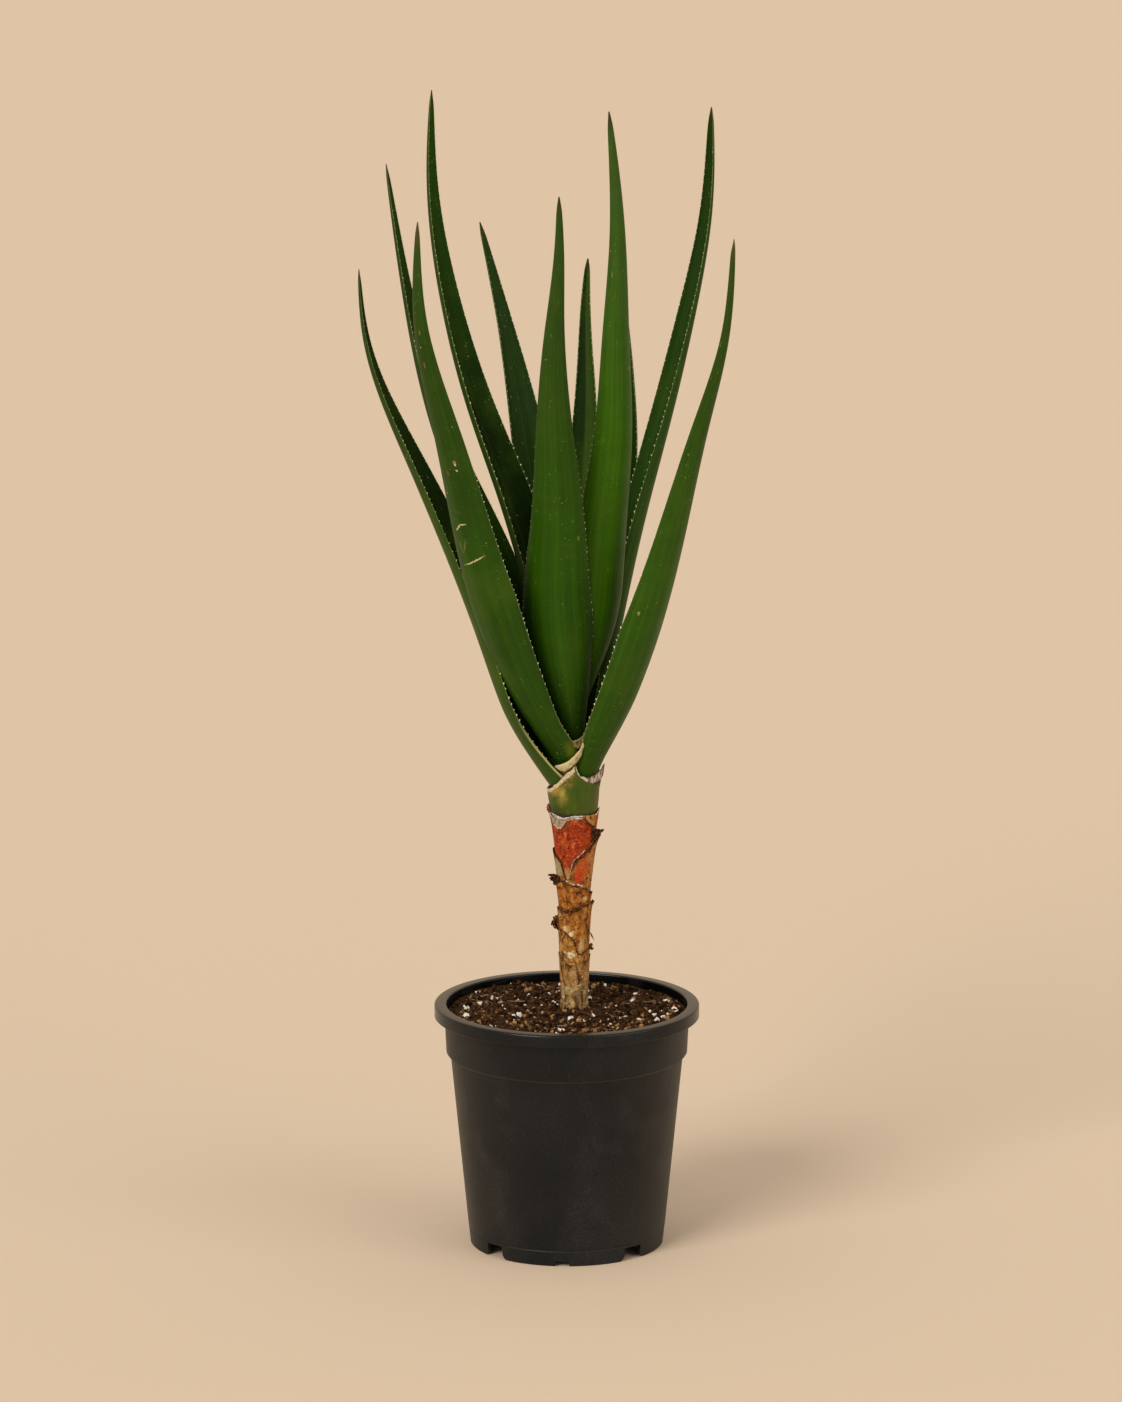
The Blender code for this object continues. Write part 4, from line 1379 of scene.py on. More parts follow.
@dataclass
class GreenSheath:
    """The clasping base of the lowest leaf, which peaks at the front and at the back. Millimetres."""

    foot: float = 393.0
    rim: float = 421.0
    radii: Pair = (19.5, 23.3)
    front_peak: float = 26.0
    rear_peak: float = 15.0
    right: tuple[Pair, ...] = ((270, 447), (277, 439), (286, 435.4), (300, 431), (315, 428.4), (340, 428),
        (0, 424), (90, 436))
    wall: float = 1.1
    waves: tuple[Triple, ...] = ((6, 0.4, 30), (13, 0.35, 80), (23, 0.25, 0))
    columns: int = 144
    rows: int = 14

    def top(self, azimuth: float) -> float:
        """Height of the rim, with its two peaks and the dips that the outer leaves rise from.

        Args:
            azimuth: Degrees, 0 at +X and 90 at +Y.

        Returns:
            The height, in millimetres.
        """
        east, north = math.cos(math.radians(azimuth)), math.sin(math.radians(azimuth))
        if east > 0:
            return eased(self.right, azimuth)
        return self.rim + (self.rear_peak if north > 0 else self.front_peak) * (1 - abs(east))

    def place(self, around: float, up: float) -> Vector:
        """The place on the sheath's outer skin.

        Args:
            around: Share of the way round the stem, from +X.
            up: Share of the height, from the foot to the rim.

        Returns:
            The place, in millimetres.
        """
        azimuth = 360 * around
        top = self.top(azimuth) + ripple(azimuth, self.waves)
        height = between((self.foot, top), up)
        widen = smooth((height - self.foot) / (self.rim - self.foot))
        outer = between(self.radii, widen)
        outer += 0.4 * max(0.0, 6 * up - 5) + 0.5 * max(0.0, 1 - 8 * up)
        outer -= 1.9 * widen * max(0.0, math.cos(math.radians(azimuth))) ** 1.5
        return on_stem(azimuth, outer, height)

    def build(self) -> Thing:
        """Rolls the sheath and dresses it.

        Returns:
            The sheath.
        """
        sheath = sheet("sheath", self.columns, self.rows, self.place)
        seal(sheath)
        modify(sheath, "SOLIDIFY", thickness=self.wall * MM, offset=-1.0)
        sheath.data.materials.append(SheathSkin().material())
        return settle(sheath, Slot.SHEATH, "green_sheath", angle=50)


@dataclass
class PaperyCollar:
    """The torn shred on the sheath's rim, curling out to a point at its right. Millimetres and degrees."""

    span: Pair = (-88.0, 20.0)
    lap: float = 1.5
    rim: tuple[Pair, ...] = (
        (-88, 448.5), (-82, 441), (-76, 437.6), (-62, 435.6), (-48, 436), (-35, 438), (-18, 440),
            (-5, 442.5), (0, 443.5),
        (8, 442.5), (20, 430),
    )
    radii: Triple = (24.4, 24.7, 27.6)
    tip: Pair = (-40.0, 8.0)
    wall: float = 0.6
    waves: tuple[Triple, ...] = ((17, 0.5, 10), (29, 0.4, 60), (43, 0.3, 0))
    columns: int = 72
    rows: int = 10

    def place(self, around: float, up: float) -> Vector:
        """The place on the shred's outer skin.

        Args:
            around: Share of the way round the shred, from its left end.
            up: Share of the height, from the foot to the rim.

        Returns:
            The place, in millimetres.
        """
        azimuth = between(self.span, around)
        foot = GreenSheath().top(azimuth) - self.lap + 0.5 * ripple(azimuth, self.waves)
        top = eased(self.rim, azimuth) + 0.6 * ripple(azimuth + 9, self.waves)
        curl = smooth((azimuth - self.tip[0]) / (self.tip[1] - self.tip[0]))
        edge = between(self.radii[1:], curl)
        outer = between((self.radii[0], edge), up) + ripple(azimuth, ((9, 0.25, 20),)) * up
        outer -= 1.6 * max(0.0, math.cos(math.radians(azimuth))) ** 1.5 * (1 - 0.8 * up * curl)
        return on_stem(azimuth, outer, foot + (top - foot) * up)

    def build(self) -> Thing:
        """Lays the shred and dresses it.

        Returns:
            The shred.
        """
        shred = sheet("collar_shred", self.columns, self.rows, self.place)
        modify(shred, "SOLIDIFY", thickness=self.wall * MM, offset=-1.0)
        shred.data.materials.append(DryPaper(edge_from=0.78, foot_to=0.36, tip_from=0.72).material())
        return settle(shred, Slot.COLLAR, "papery_collar", angle=50)


class StemSkin:
    """Tells how far from the stem's axis its outermost skin is."""

    def __init__(self, pieces: Sequence[Thing]) -> None:
        """Reads the pieces.

        Args:
            pieces: Finished pieces of the stem.
        """
        graph = bpy.context.evaluated_depsgraph_get()
        self.trees = [BVHTree.FromObject(piece, graph) for piece in pieces]

    def radius(self, turn: float, height: float) -> float:
        """Finds the skin from outside.

        Args:
            turn: Degrees to the right of the front.
            height: Height in millimetres.

        Returns:
            Radius of the skin in millimetres, or of the bare stem where there is none.
        """
        far, stem = 60.0, 12.5
        start = on_stem(turn - 90, far, height) * MM + POT_AXIS
        found = [tree.ray_cast(start, -leaning(turn - 90, 90), far * MM)[3] for tree in self.trees]
        reached = [distance for distance in found if distance is not None]
        return far - min(reached) / MM if reached else stem


def along_marks(marks: Sequence[tuple[float, ...]], share: float) -> list[float]:
    """Values at this share of the way along a row of marks, taken straight from one mark to the next."""
    at = share * (len(marks) - 1)
    i = min(len(marks) - 2, int(at))
    return [between(pair, at - i) for pair in zip(marks[i], marks[i + 1])]


@dataclass
class Shred:
    """A torn piece of skin between two edges.

    Each edge is a row of (degrees to the right of the front, height, lift off what it lies on).
    """

    low: tuple[Triple, ...]
    high: tuple[Triple, ...]
    wall: float = 0.6
    ragged: float = 0.3
    columns: int = 24
    rows: int = 6

    def build(self, radius: Callable[[float, float], float]) -> Thing:
        """Lays the shred and thickens it.

        Args:
            radius: Radius of what it lies on, from the turn and the height.

        Returns:
            The shred.
        """

        def lay(across: float, along: float) -> Vector:
            """The place at these shares along the edges and from the low edge to the high one."""
            low, high = along_marks(self.low, across), along_marks(self.high, across)
            turn, height, lift = (between(pair, along) for pair in zip(low, high))
            tear = self.ragged * (2 * along - 1)
            height += tear * ripple(900 * across, ((1, 0.6, 20), (3, 0.7, 70), (7, 0.5, 10)))
            return on_stem(turn - 90, radius(turn, height) + lift, height)

        shred = sheet("shred", self.columns, self.rows, lay)
        with editing(shred):
            bpy.ops.mesh.remove_doubles(threshold=DOUBLES)
        modify(shred, "SOLIDIFY", thickness=self.wall * MM, offset=1.0)
        return shred


@dataclass
class Strand:
    """A fibrous ridge, whose path has (degrees to the right of the front, height, half thickness, lift)."""

    path: tuple[tuple[float, float, float, float], ...]
    lumps: float = 0.3
    sides: int = 10
    rows: int = 48

    def build(self, radius: Callable[[float, float], float]) -> Thing:
        """Lays the ridge along its path, closed to a point at both ends.

        Args:
            radius: Radius of what it lies on, from the turn and the height.

        Returns:
            The ridge.
        """
        spine, thick = [], []
        for row in range(self.rows + 1):
            turn, height, half, lift = along_marks(self.path, row / self.rows)
            spine.append(on_stem(turn - 90, radius(turn, height) + lift + 0.2 * half, height))
            close = min(1.0, 6 * row / self.rows, 6 * (1 - row / self.rows)) ** 0.5
            thick.append(half * close * (1 + self.lumps * ripple(40 * row, ((1, 0.6, 10), (2.7, 0.6, 50)))))

        def lay(around: float, along: float) -> Vector:
            """The place at these shares round the ridge and along it."""
            row = round(along * self.rows)
            place = spine[row]
            way = (spine[min(row + 1, self.rows)] - spine[max(row - 1, 0)]).normalized()
            out = Vector((place.x - STEM_AXIS[0], place.y - STEM_AXIS[1], 0)).normalized()
            out = (out - way * out.dot(way)).normalized()
            angle = math.tau * around
            rough = 1 + self.lumps * ripple(75 * row + 360 * around, ((1, 0.35, 0), (3, 0.3, 40)))
            return place + (out * math.cos(angle) + way.cross(out) * math.sin(angle)) * thick[row] * rough

        ridge = sheet("ridge", self.sides, self.rows, lay)
        seal(ridge)
        return ridge


@dataclass
class Trim:
    """Torn bits of one finish, joined into one piece."""

    name: str
    slot: Slot
    finish: DryPaper | Husk
    bits: tuple[Shred | Strand, ...]

    def build(self, radius: Callable[[float, float], float]) -> Thing:
        """Builds the bits and joins them.

        Args:
            radius: Radius of what they lie on, from the turn and the height.

        Returns:
            The piece.
        """
        pieces = [bit.build(radius) for bit in self.bits]
        main = pieces[0]
        join(*pieces)
        main.name = main.data.name = self.name
        with editing(main):
            bpy.ops.mesh.normals_make_consistent(inside=False)
        main.data.materials.append(self.finish.material())
        return settle(main, self.slot, angle=50)


@dataclass
class Blade:
    """One leaf: where its sheath sits, the line its keel follows, and how wide and folded it is.

    Millimetres, degrees, and shares of the length.
    """

    name: str
    azimuth: float
    seat: float
    lean: float
    line: tuple[Triple, ...]
    width: float
    fold: float = 50.0
    wrap: float = 90.0
    turn: Pair = (0, 0)
    broad: float = 0.24
    swell: float = 0.0
    swell_at: float = 0.035
    blunt: float = 1.2
    blunt_span: Pair = (0.035, 0.25)
    taper: float = 1.25
    thick: float = 6.5
    skin: LeafSkin = LeafSkin()
    face: LeafSkin = LeafSkin()
    columns: int = 16
    rows: int = 72
    margin: float = 0.7
    sheath: float = 1.7
    opening: float = 0.12
    tooth_gap: Pair = (4.5, 9.5)
    tooth_size: float = 2.65
    tooth_span: Pair = (0.06, 0.94)
    crown: Pair = (19.0, 424.0)
    crown_slope: float = 0.35
    tip_radius: float = 3.0

    def crown_radius(self, height: float) -> float:
        """Radius of the growing tip at this height."""
        return max(self.tip_radius, self.crown[0] - self.crown_slope * (height - self.crown[1]))

    def keel(self) -> list[Vector]:
        """Points along the smooth line of the keel, from the foot to the tip.

        Returns:
            The points, in millimetres.
        """
        foot = on_stem(self.azimuth, self.crown_radius(self.seat) + 0.5, self.seat)
        knots = [foot] + [Vector(place) for place in self.line]
        spans = [(b - a).length for a, b in zip(knots, knots[1:])]
        count = len(knots)
        system, right = np.zeros((count, count)), np.zeros((count, 3))
        system[0, 0], right[0] = 1, leaning(self.azimuth, self.lean)
        for i in range(1, count - 1):
            before, after = spans[i - 1], spans[i]
            system[i, i - 1 : i + 2] = after, 2 * (before + after), before
            arriving = after * (knots[i] - knots[i - 1]) / before
            leaving = before * (knots[i + 1] - knots[i]) / after
            right[i] = 3 * (arriving + leaving)
        system[-1, -2:] = 1, 2
        right[-1] = 3 * (knots[-1] - knots[-2]) / spans[-1]
        slopes = [Vector(row) for row in np.linalg.solve(system, right)]
        points = []
        steps = 24
        for i, span in enumerate(spans):
            for step in range(steps):
                t = step / steps
                points.append(
                    knots[i] * (1 + 2 * t) * (1 - t) ** 2
                    + slopes[i] * span * t * (1 - t) ** 2
                    + knots[i + 1] * t * t * (3 - 2 * t)
                    + slopes[i + 1] * span * t * t * (t - 1)
                )
        return points + [knots[-1]]

    def frames(self, shares: Sequence[float]) -> list[tuple[Vector, Vector, Vector, Vector]]:
        """Place, way along, way across and way inwards of the leaf at each share of its length.

        Args:
            shares: The shares, in rising order.

        Returns:
            The four vectors for each share.
        """
        points = self.keel()
        reached = [0.0]
        for a, b in zip(points, points[1:]):
            reached.append(reached[-1] + (b - a).length)
        found = []
        for share in shares:
            at = share * reached[-1]
            i = min(len(points) - 2, max(k for k, way in enumerate(reached) if way <= at + 1e-9))
            step = points[i + 1] - points[i]
            place = points[i] + step * ((at - reached[i]) / step.length)
            ahead, behind = points[min(i + 2, len(points) - 1)], points[max(i - 1, 0)]
            start = leaning(self.azimuth, self.lean)
            way = start.lerp((ahead - behind).normalized(), min(1.0, share / 0.02)).normalized()
            early, late = self.turn
            facing = self.azimuth + early * smooth(share / 0.2) + (late - early) * smooth((share - 0.2) / 0.8)
            inward = -leaning(facing, 90)
            inward = (inward - way * inward.dot(way)).normalized()
            found.append((place, way, inward.cross(way), inward))
        return found

    def half_width(self, share: float) -> float:
        """Half of the flat width.

        Args:
            share: Share of the length.

        Returns:
            The half width, in millimetres.
        """
        foot = self.crown_radius(self.seat) * math.radians(self.wrap)
        if share < self.broad:
            bulge = self.swell * math.exp(-(((share - self.swell_at) / self.swell_at) ** 2))
            return foot + (self.width - foot) * smooth(share / self.broad) ** 0.8 + bulge
        rest = (share - self.broad) / (1 - self.broad)
        left = 1 - rest
        end, fade = self.blunt_span
        point = self.blunt * smooth(left / end) * (1 - smooth((left - end) / fade))
        return self.width * max(0.0, 1 - rest**1.12) ** self.taper + 0.5 + point

    def section(self, share: float, across: float) -> tuple[float, float, float, float]:
        """The inner face across the line.

        Args:
            share: Share of the length.
            across: From -1 at one margin to 1 at the other.

        Returns:
            Distance along the width, distance inwards, thickness of the leaf there, and the fold's angle.
        """
        half = self.half_width(share)
        opened = 1 - (1 - min(1.0, share / self.opening)) ** 3
        fold = math.radians(self.wrap + (self.fold - self.wrap) * opened)
        radius = half / fold
        thick = self.sheath + (self.thick - self.sheath) * smooth((share - 0.02) / 0.16)
        thick = min(thick * (1 - share) ** 0.55 + 0.6, 1.1 * half)
        angle = across * fold
        depth = self.margin + (thick - self.margin) * (1 - abs(across) ** 2.4)
        tip = 1 - smooth((share - 0.985) / 0.015) * 0.55
        return radius * math.sin(angle), radius * (1 - math.cos(angle)), min(depth, thick) * tip, angle

    def share_at(self, along: float) -> float:
        """Share of the length at this share of the rows, which crowd towards both ends."""
        return 1 - (1 - along**1.2) ** 1.2

    def add_teeth(self, leaf: Thing, horn: Material) -> None:
        """Sets the teeth along both margins and joins them to the leaf.

        Args:
            leaf: The leaf.
            horn: The material of the teeth.
        """
        clear()
        bpy.ops.mesh.primitive_cone_add(vertices=5, radius1=0.5 * MM, depth=MM)
        tooth = bpy.context.active_object
        with editing(tooth):
            bpy.ops.transform.translate(value=(0, 0, 0.32 * MM))
            pick(tooth, lambda place: place.z > 0.6 * MM)
            bpy.ops.transform.translate(value=(0.35 * MM, 0, 0))
        picker = random.Random(f"leaf_{self.name}")
        keel = self.keel()
        length = sum((b - a).length for a, b in zip(keel, keel[1:]))
        places = []
        for side in (-1, 1):
            at = self.tooth_span[0] * length
            while at < self.tooth_span[1] * length:
                share = at / length
                place, way, across, inward = self.frames([share])[0]
                u, v, _, angle = self.section(share, side)
                out = (across * math.cos(angle) + inward * math.sin(angle)).normalized() * side
                lift = (out + way * picker.uniform(0.25, 0.7)).normalized()
                flat = way.cross(lift).normalized()
                along = lift.cross(flat) * -1
                size = self.tooth_size * picker.uniform(0.65, 1.15) * (1 - 0.72 * share)
                size *= 0.35 + 0.65 * smooth(share / 0.24)
                spot = (place + across * u + inward * v) - out * 0.25
                turn = Matrix((-along * size * 0.85, flat * size * 0.55, lift * size)).transposed().to_4x4()
                places.append(Matrix.Translation(spot * MM) @ turn)
                at += picker.uniform(*self.tooth_gap) * (1.1 - 0.3 * share)
        teeth = strew(f"leaf_{self.name}_teeth", [tooth], places)
        teeth.data.materials.append(horn)
        discard(tooth)
        join(leaf, teeth)

    def build(self, horn: Material, edge: Material) -> Thing:
        """Lays the blade along its keel, thickens it, and gives it its teeth and skins.

        Args:
            horn: The material of the teeth.
            edge: The material of the margins.

        Returns:
            The leaf.
        """
        shares = [self.share_at(row / self.rows) for row in range(self.rows + 1)]
        frames = self.frames(shares)

        def lay(across: float, along: float) -> Vector:
            """The place of a point of the inner face."""
            row = round(along * self.rows)
            place, _, side, inward = frames[row]
            u, v, _, _ = self.section(shares[row], 2 * across - 1)
            return place + side * u + inward * v

        leaf = sheet(f"blade_{self.name}", self.columns, self.rows, lay)
        mesh = leaf.data
        layer = mesh.uv_layers.active.data
        group = leaf.vertex_groups.new(name="thickness")
        depths = {}
        for loop in mesh.loops:
            across, along = layer[loop.index].uv
            share = shares[round(along * self.rows)]
            layer[loop.index].uv = (across, share)
            depths[loop.vertex_index] = self.section(share, 2 * across - 1)[2]
        for index, depth in depths.items():
            group.add([index], depth / self.thick, "REPLACE")
        skins = self.skin.material(f"skin_{self.name}"), self.face.material(f"face_{self.name}")
        for material in (*skins, edge):
            mesh.materials.append(material)
        modify(
            leaf, "SOLIDIFY", thickness=self.thick * MM, offset=1.0, vertex_group="thickness",
            material_offset=1, material_offset_rim=2,
        )
        modify(leaf, "SUBSURF", levels=1, render_levels=1)
        self.add_teeth(leaf, horn)
        return settle(leaf, Slot.LEAF, f"leaf_{self.name}", angle=60)


@dataclass
class Crown:
    """All the leaves, from the lowest up."""

    blades: tuple[Blade, ...]

    def build(self) -> list[Thing]:
        """Builds every leaf with shared horn and margins.

        Returns:
            The leaves.
        """
        horn = Horn("tooth_horn", (0.90, 0.86, 0.70), (0.70, 0.63, 0.42)).material()
        edge = Horn("leaf_margin", (0.13, 0.17, 0.035), (0.045, 0.09, 0.008)).material()
        return [blade.build(horn, edge) for blade in self.blades]


@dataclass
class Studio:
    """Camera, floor and plain soft light. Metres and degrees."""

    camera_place: Triple = (0.01325, -6.852, 1.9928)
    camera_pitch: float = 12.3
    lens: float = 200.0
    sensor: float = 36.0
    floor_half: float = 40.0
    floor_colour: Colour = (0.83, 0.632, 0.446)
    back_colour: Colour = (0.78, 0.60, 0.42)
    ambient: float = 0.52
    clip: float = 200.0
    lamps: tuple[tuple[str, Triple, float, float], ...] = (
        ("key", (-0.62, -0.85, 0.62), 1.75, 30),
        ("fill", (0.85, -0.6, 0.4), 0.75, 50),
    )

    def sun(self, name: str, towards: Triple, strength: float, spread: float) -> None:
        """Adds a distant lamp.

        Args:
            name: The lamp's name.
            towards: Direction from the object to the lamp.
            strength: Its strength.
            spread: Its angle, in degrees.
        """
        lamp = bpy.data.lights.new(name, "SUN")
        lamp.energy = strength
        lamp.angle = math.radians(spread)
        holder = bpy.data.objects.new(name, lamp)
        holder.rotation_euler = Vector(towards).to_track_quat("Z", "Y").to_euler()
        bpy.context.scene.collection.objects.link(holder)

    def build(self) -> None:
        """Sets the stage."""
        clear()
        bpy.ops.mesh.primitive_grid_add(x_subdivisions=8, y_subdivisions=8, size=2 * self.floor_half)
        floor = bpy.context.active_object
        floor.name = "floor"
        recipe = Recipe("pale_floor", 0.9, 0.1)
        recipe.shader.inputs["Base Color"].default_value = (*self.floor_colour, 1.0)
        floor.data.materials.append(recipe.material)
        world = bpy.data.worlds.new("studio")
        bpy.context.scene.world = world
        world.use_nodes = True
        nodes, links = world.node_tree.nodes, world.node_tree.links
        soft = nodes["Background"]
        soft.inputs["Color"].default_value = (1.0, 0.97, 0.93, 1.0)
        soft.inputs["Strength"].default_value = self.ambient
        back = nodes.new("ShaderNodeBackground")
        back.inputs["Color"].default_value = (*self.back_colour, 1.0)
        rays = nodes.new("ShaderNodeLightPath")
        blend = nodes.new("ShaderNodeMixShader")
        seen = rays.outputs["Is Camera Ray"]
        for kind in ("Is Glossy Ray", "Is Transmission Ray"):
            either = nodes.new("ShaderNodeMath")
            either.operation = "MAXIMUM"
            links.new(seen, either.inputs[0])
            links.new(rays.outputs[kind], either.inputs[1])
            seen = either.outputs[0]
        links.new(seen, blend.inputs[0])
        links.new(soft.outputs[0], blend.inputs[1])
        links.new(back.outputs[0], blend.inputs[2])
        links.new(blend.outputs[0], nodes["World Output"].inputs[0])
        for lamp in self.lamps:
            self.sun(*lamp)
        camera = bpy.data.cameras.new("camera")
        camera.lens = self.lens
        camera.sensor_width = self.sensor
        camera.clip_end = self.clip
        holder = bpy.data.objects.new("camera", camera)
        holder.location = self.camera_place
        holder.rotation_euler = (math.radians(90 - self.camera_pitch), 0, 0)
        bpy.context.scene.collection.objects.link(holder)
        bpy.context.scene.camera = holder
        bpy.context.scene.view_settings.view_transform = "Standard"


RED = (0.35, 0.036, 0.004)
SCALES = (
    DryScale(
        1, 240, (12.2, 13.4),
        ((0, 266), (90, 262), (180, 268), (235, 263), (285, 262), (299, 256), (315, 262)),
        Bark("scale_bark_1", (0.24, 0.095, 0.022), (0.38, 0.18, 0.055), rim_from=0.965, marks=stem_marks(
            (-37, 258, (0.7, 3.6), (0.08, 0.03, 0.012), 8),
            (27, 260, (0.9, 5.5), (0.06, 0.022, 0.01), 6),
            (37, 249.5, (4.5, 0.55), (0.74, 0.56, 0.34), 38, 0.9, 0.8),
            (34, 247.6, (4.8, 0.5), (0.14, 0.06, 0.025), 36, 0.9, 0.8),
            (18, 241, (5.0, 0.5), (0.62, 0.46, 0.28), 20, 0.9, 0.8),
            (-10, 252, (5.0, 4.0), (0.46, 0.30, 0.15), 0, 0.5, 0.9),
        )),
        flare=0.5,
    ),
    DryScale(
        2, 256, (12.5, 14.3),
        ((0, 275), (90, 286), (180, 294), (205, 292), (240, 290), (270, 283), (281, 272), (297, 269),
         (320, 272)),
        Bark("scale_bark_2", (0.25, 0.085, 0.012), (0.40, 0.165, 0.036), rim_from=0.965, marks=stem_marks(
            (-12, 269, (6.4, 4.4), (0.66, 0.38, 0.17), 10, 0.9, 0.7),
            (-14, 269.5, (5.2, 3.2), (0.76, 0.56, 0.34), 10, 0.95, 0.7),
            (-38, 271.5, (3.6, 2.6), (0.60, 0.36, 0.15), 0, 0.8, 0.8),
            (12, 266, (2.4, 2.0), (0.60, 0.27, 0.07), 0, 0.8, 0.6),
            (-62, 275, (2.0, 12.0), (0.42, 0.24, 0.10), 0, 0.5, 0.8),
            (14, 267.5, (0.9, 2.4), (0.06, 0.022, 0.01), 0),
        )),
        (Spur(178, 8, 3.6), Spur(355, 2, 1.7)),
    ),
    DryScale(
        3, 264, (12.3, 15.0),
        ((0, 316), (90, 308), (180, 310), (225, 311), (270, 313), (300, 315), (330, 316)),
        Bark("scale_bark_3", (0.23, 0.066, 0.007), (0.37, 0.13, 0.020), rim_from=0.97, marks=stem_marks(
            (-34, 293, (6.5, 5.0), (0.56, 0.30, 0.12), 35, 0.8, 0.8),
            (-38, 294, (3.0, 3.0), (0.66, 0.46, 0.26), 35, 0.85, 0.8),
            (-16, 288, (7.0, 2.8), (0.72, 0.50, 0.26), 40, 0.95, 0.6),
            (-4, 282, (2.4, 3.6), (0.64, 0.36, 0.15), 20, 0.9, 0.7),
            (30, 279, (4.2, 7.2), (0.44, 0.26, 0.12), -18, 0.9, 0.5),
            (3, 300, (1.0, 1.6), (0.12, 0.04, 0.015)),
            (-56, 305, (3.0, 3.4), (0.40, 0.29, 0.17), 0, 0.7, 0.7),
            (30, 293, (6.0, 5.0), (0.42, 0.13, 0.02), 0, 0.5, 0.9),
        )),
        (Spur(350, 2, 1.6),),
    ),
    DryScale(
        4, 302, (12.6, 16.6),
        ((0, 324), (90, 334), (180, 337), (225, 337), (247, 335.5), (270, 334.5), (300, 332), (322, 328),
         (345, 325)),
        Bark("scale_bark_4", (0.23, 0.062, 0.006), (0.35, 0.115, 0.016), rim_from=0.965, marks=stem_marks(
            (28, 324, (2.6, 1.6), (0.05, 0.022, 0.012), 25),
            (-20, 322, (9.0, 1.0), (0.17, 0.055, 0.012), -12, 0.8, 0.8),
            (40, 321, (4.0, 3.6), (0.66, 0.34, 0.10), 0, 0.75, 0.7),
            (-64, 322, (2.0, 11.0), (0.30, 0.13, 0.04), 0, 0.6, 0.8),
            (62, 326, (1.2, 5.0), (0.05, 0.022, 0.012), -10),
        )),
        (Spur(183, 2, 2.0), Spur(110, 3, 3.0)),
    ),
    DryScale(
        5, 318, (13.2, 20.2),
        ((0, 376), (90, 370), (180, 364), (200, 362), (216, 358), (229, 353), (238, 342), (247, 340),
         (257, 341.5), (262, 350), (269, 356), (287, 360), (314, 366), (324, 370.5), (342, 375)),
        Bark("scale_bark_5", (0.26, 0.080, 0.012), (0.38, 0.14, 0.03), grain=1.2, rim_from=0.975,
             marks=stem_marks(
            (-60, 349, (6.0, 11.0), (0.30, 0.21, 0.11), 0, 0.9, 0.4),
            (26, 350, (7.5, 17.0), (0.38, 0.062, 0.009), -14, 0.95, 0.5),
            (14, 343, (5.5, 9.5), (0.36, 0.032, 0.004), 0, 0.95, 0.6),
            (-6, 343, (2.6, 3.8), (0.17, 0.024, 0.004), 0, 0.85, 0.8),
            (50, 360, (3.0, 8.0), (0.40, 0.16, 0.07), -20, 0.6, 0.7),
            (66, 350, (4.0, 14.0), (0.36, 0.15, 0.03), 0, 0.8, 0.6),
            (44, 340.5, (1.6, 1.8), (0.10, 0.02, 0.01)),
            (-2, 340, (2.6, 2.6), (0.10, 0.03, 0.012), 0, 0.8, 0.8),
            (-30, 338, (3.6, 1.8), (0.05, 0.025, 0.012), 0, 0.85, 0.7),
        )),
        (Spur(358, 3, 1.5),),
    ),
    DryScale(
        6, 334, (14.0, 21.7),
        ((0, 402), (90, 397), (180, 399), (208, 396), (250, 397), (284, 399), (324, 398), (340, 402)),
        Bark("scale_bark_6", (0.25, 0.024, 0.003), RED, (0.11, 0.012, 0.003), (0.56, 0.17, 0.06), flecks=0.75,
             grain=1.5, stretch=0.9, rim=(0.5, 0.42, 0.32), rim_from=0.975, marks=stem_marks(
            (58, 384, (2.6, 9.0), (0.38, 0.15, 0.09), -8, 0.6, 0.8),
            (-26, 345, (6.0, 7.5), (0.36, 0.16, 0.05), 0, 0.9, 0.6),
            (-24, 340, (4.0, 4.5), (0.34, 0.20, 0.09), 0, 0.9, 0.6),
            (-74, 392, (3.2, 6.0), (0.09, 0.022, 0.010), 0, 0.9, 0.5),
            # Painted highlight along the scale's left edge.
            (-82, 378, (3.2, 14.0), (0.34, 0.09, 0.03), 0, 0.5, 0.9),
            (-16, 391, (5.0, 2.6), (0.17, 0.04, 0.012), 28, 0.8, 0.7),
            (18, 396, (5.0, 1.6), (0.10, 0.04, 0.018), 0, 0.8, 0.6),
            (1, 374, (0.5, 0.5), (0.80, 0.50, 0.30)),
            (74, 380, (2.4, 12.0), (0.33, 0.16, 0.07), 0, 0.8, 0.6),
            (-30, 373, (4.0, 8.0), (0.42, 0.075, 0.012), 0, 0.5, 0.9),
            (24, 366, (5.0, 1.6), (0.22, 0.03, 0.008), 34, 0.7, 0.8),
        )),
        (Spur(182, 3, 0.6),),
    ),
)

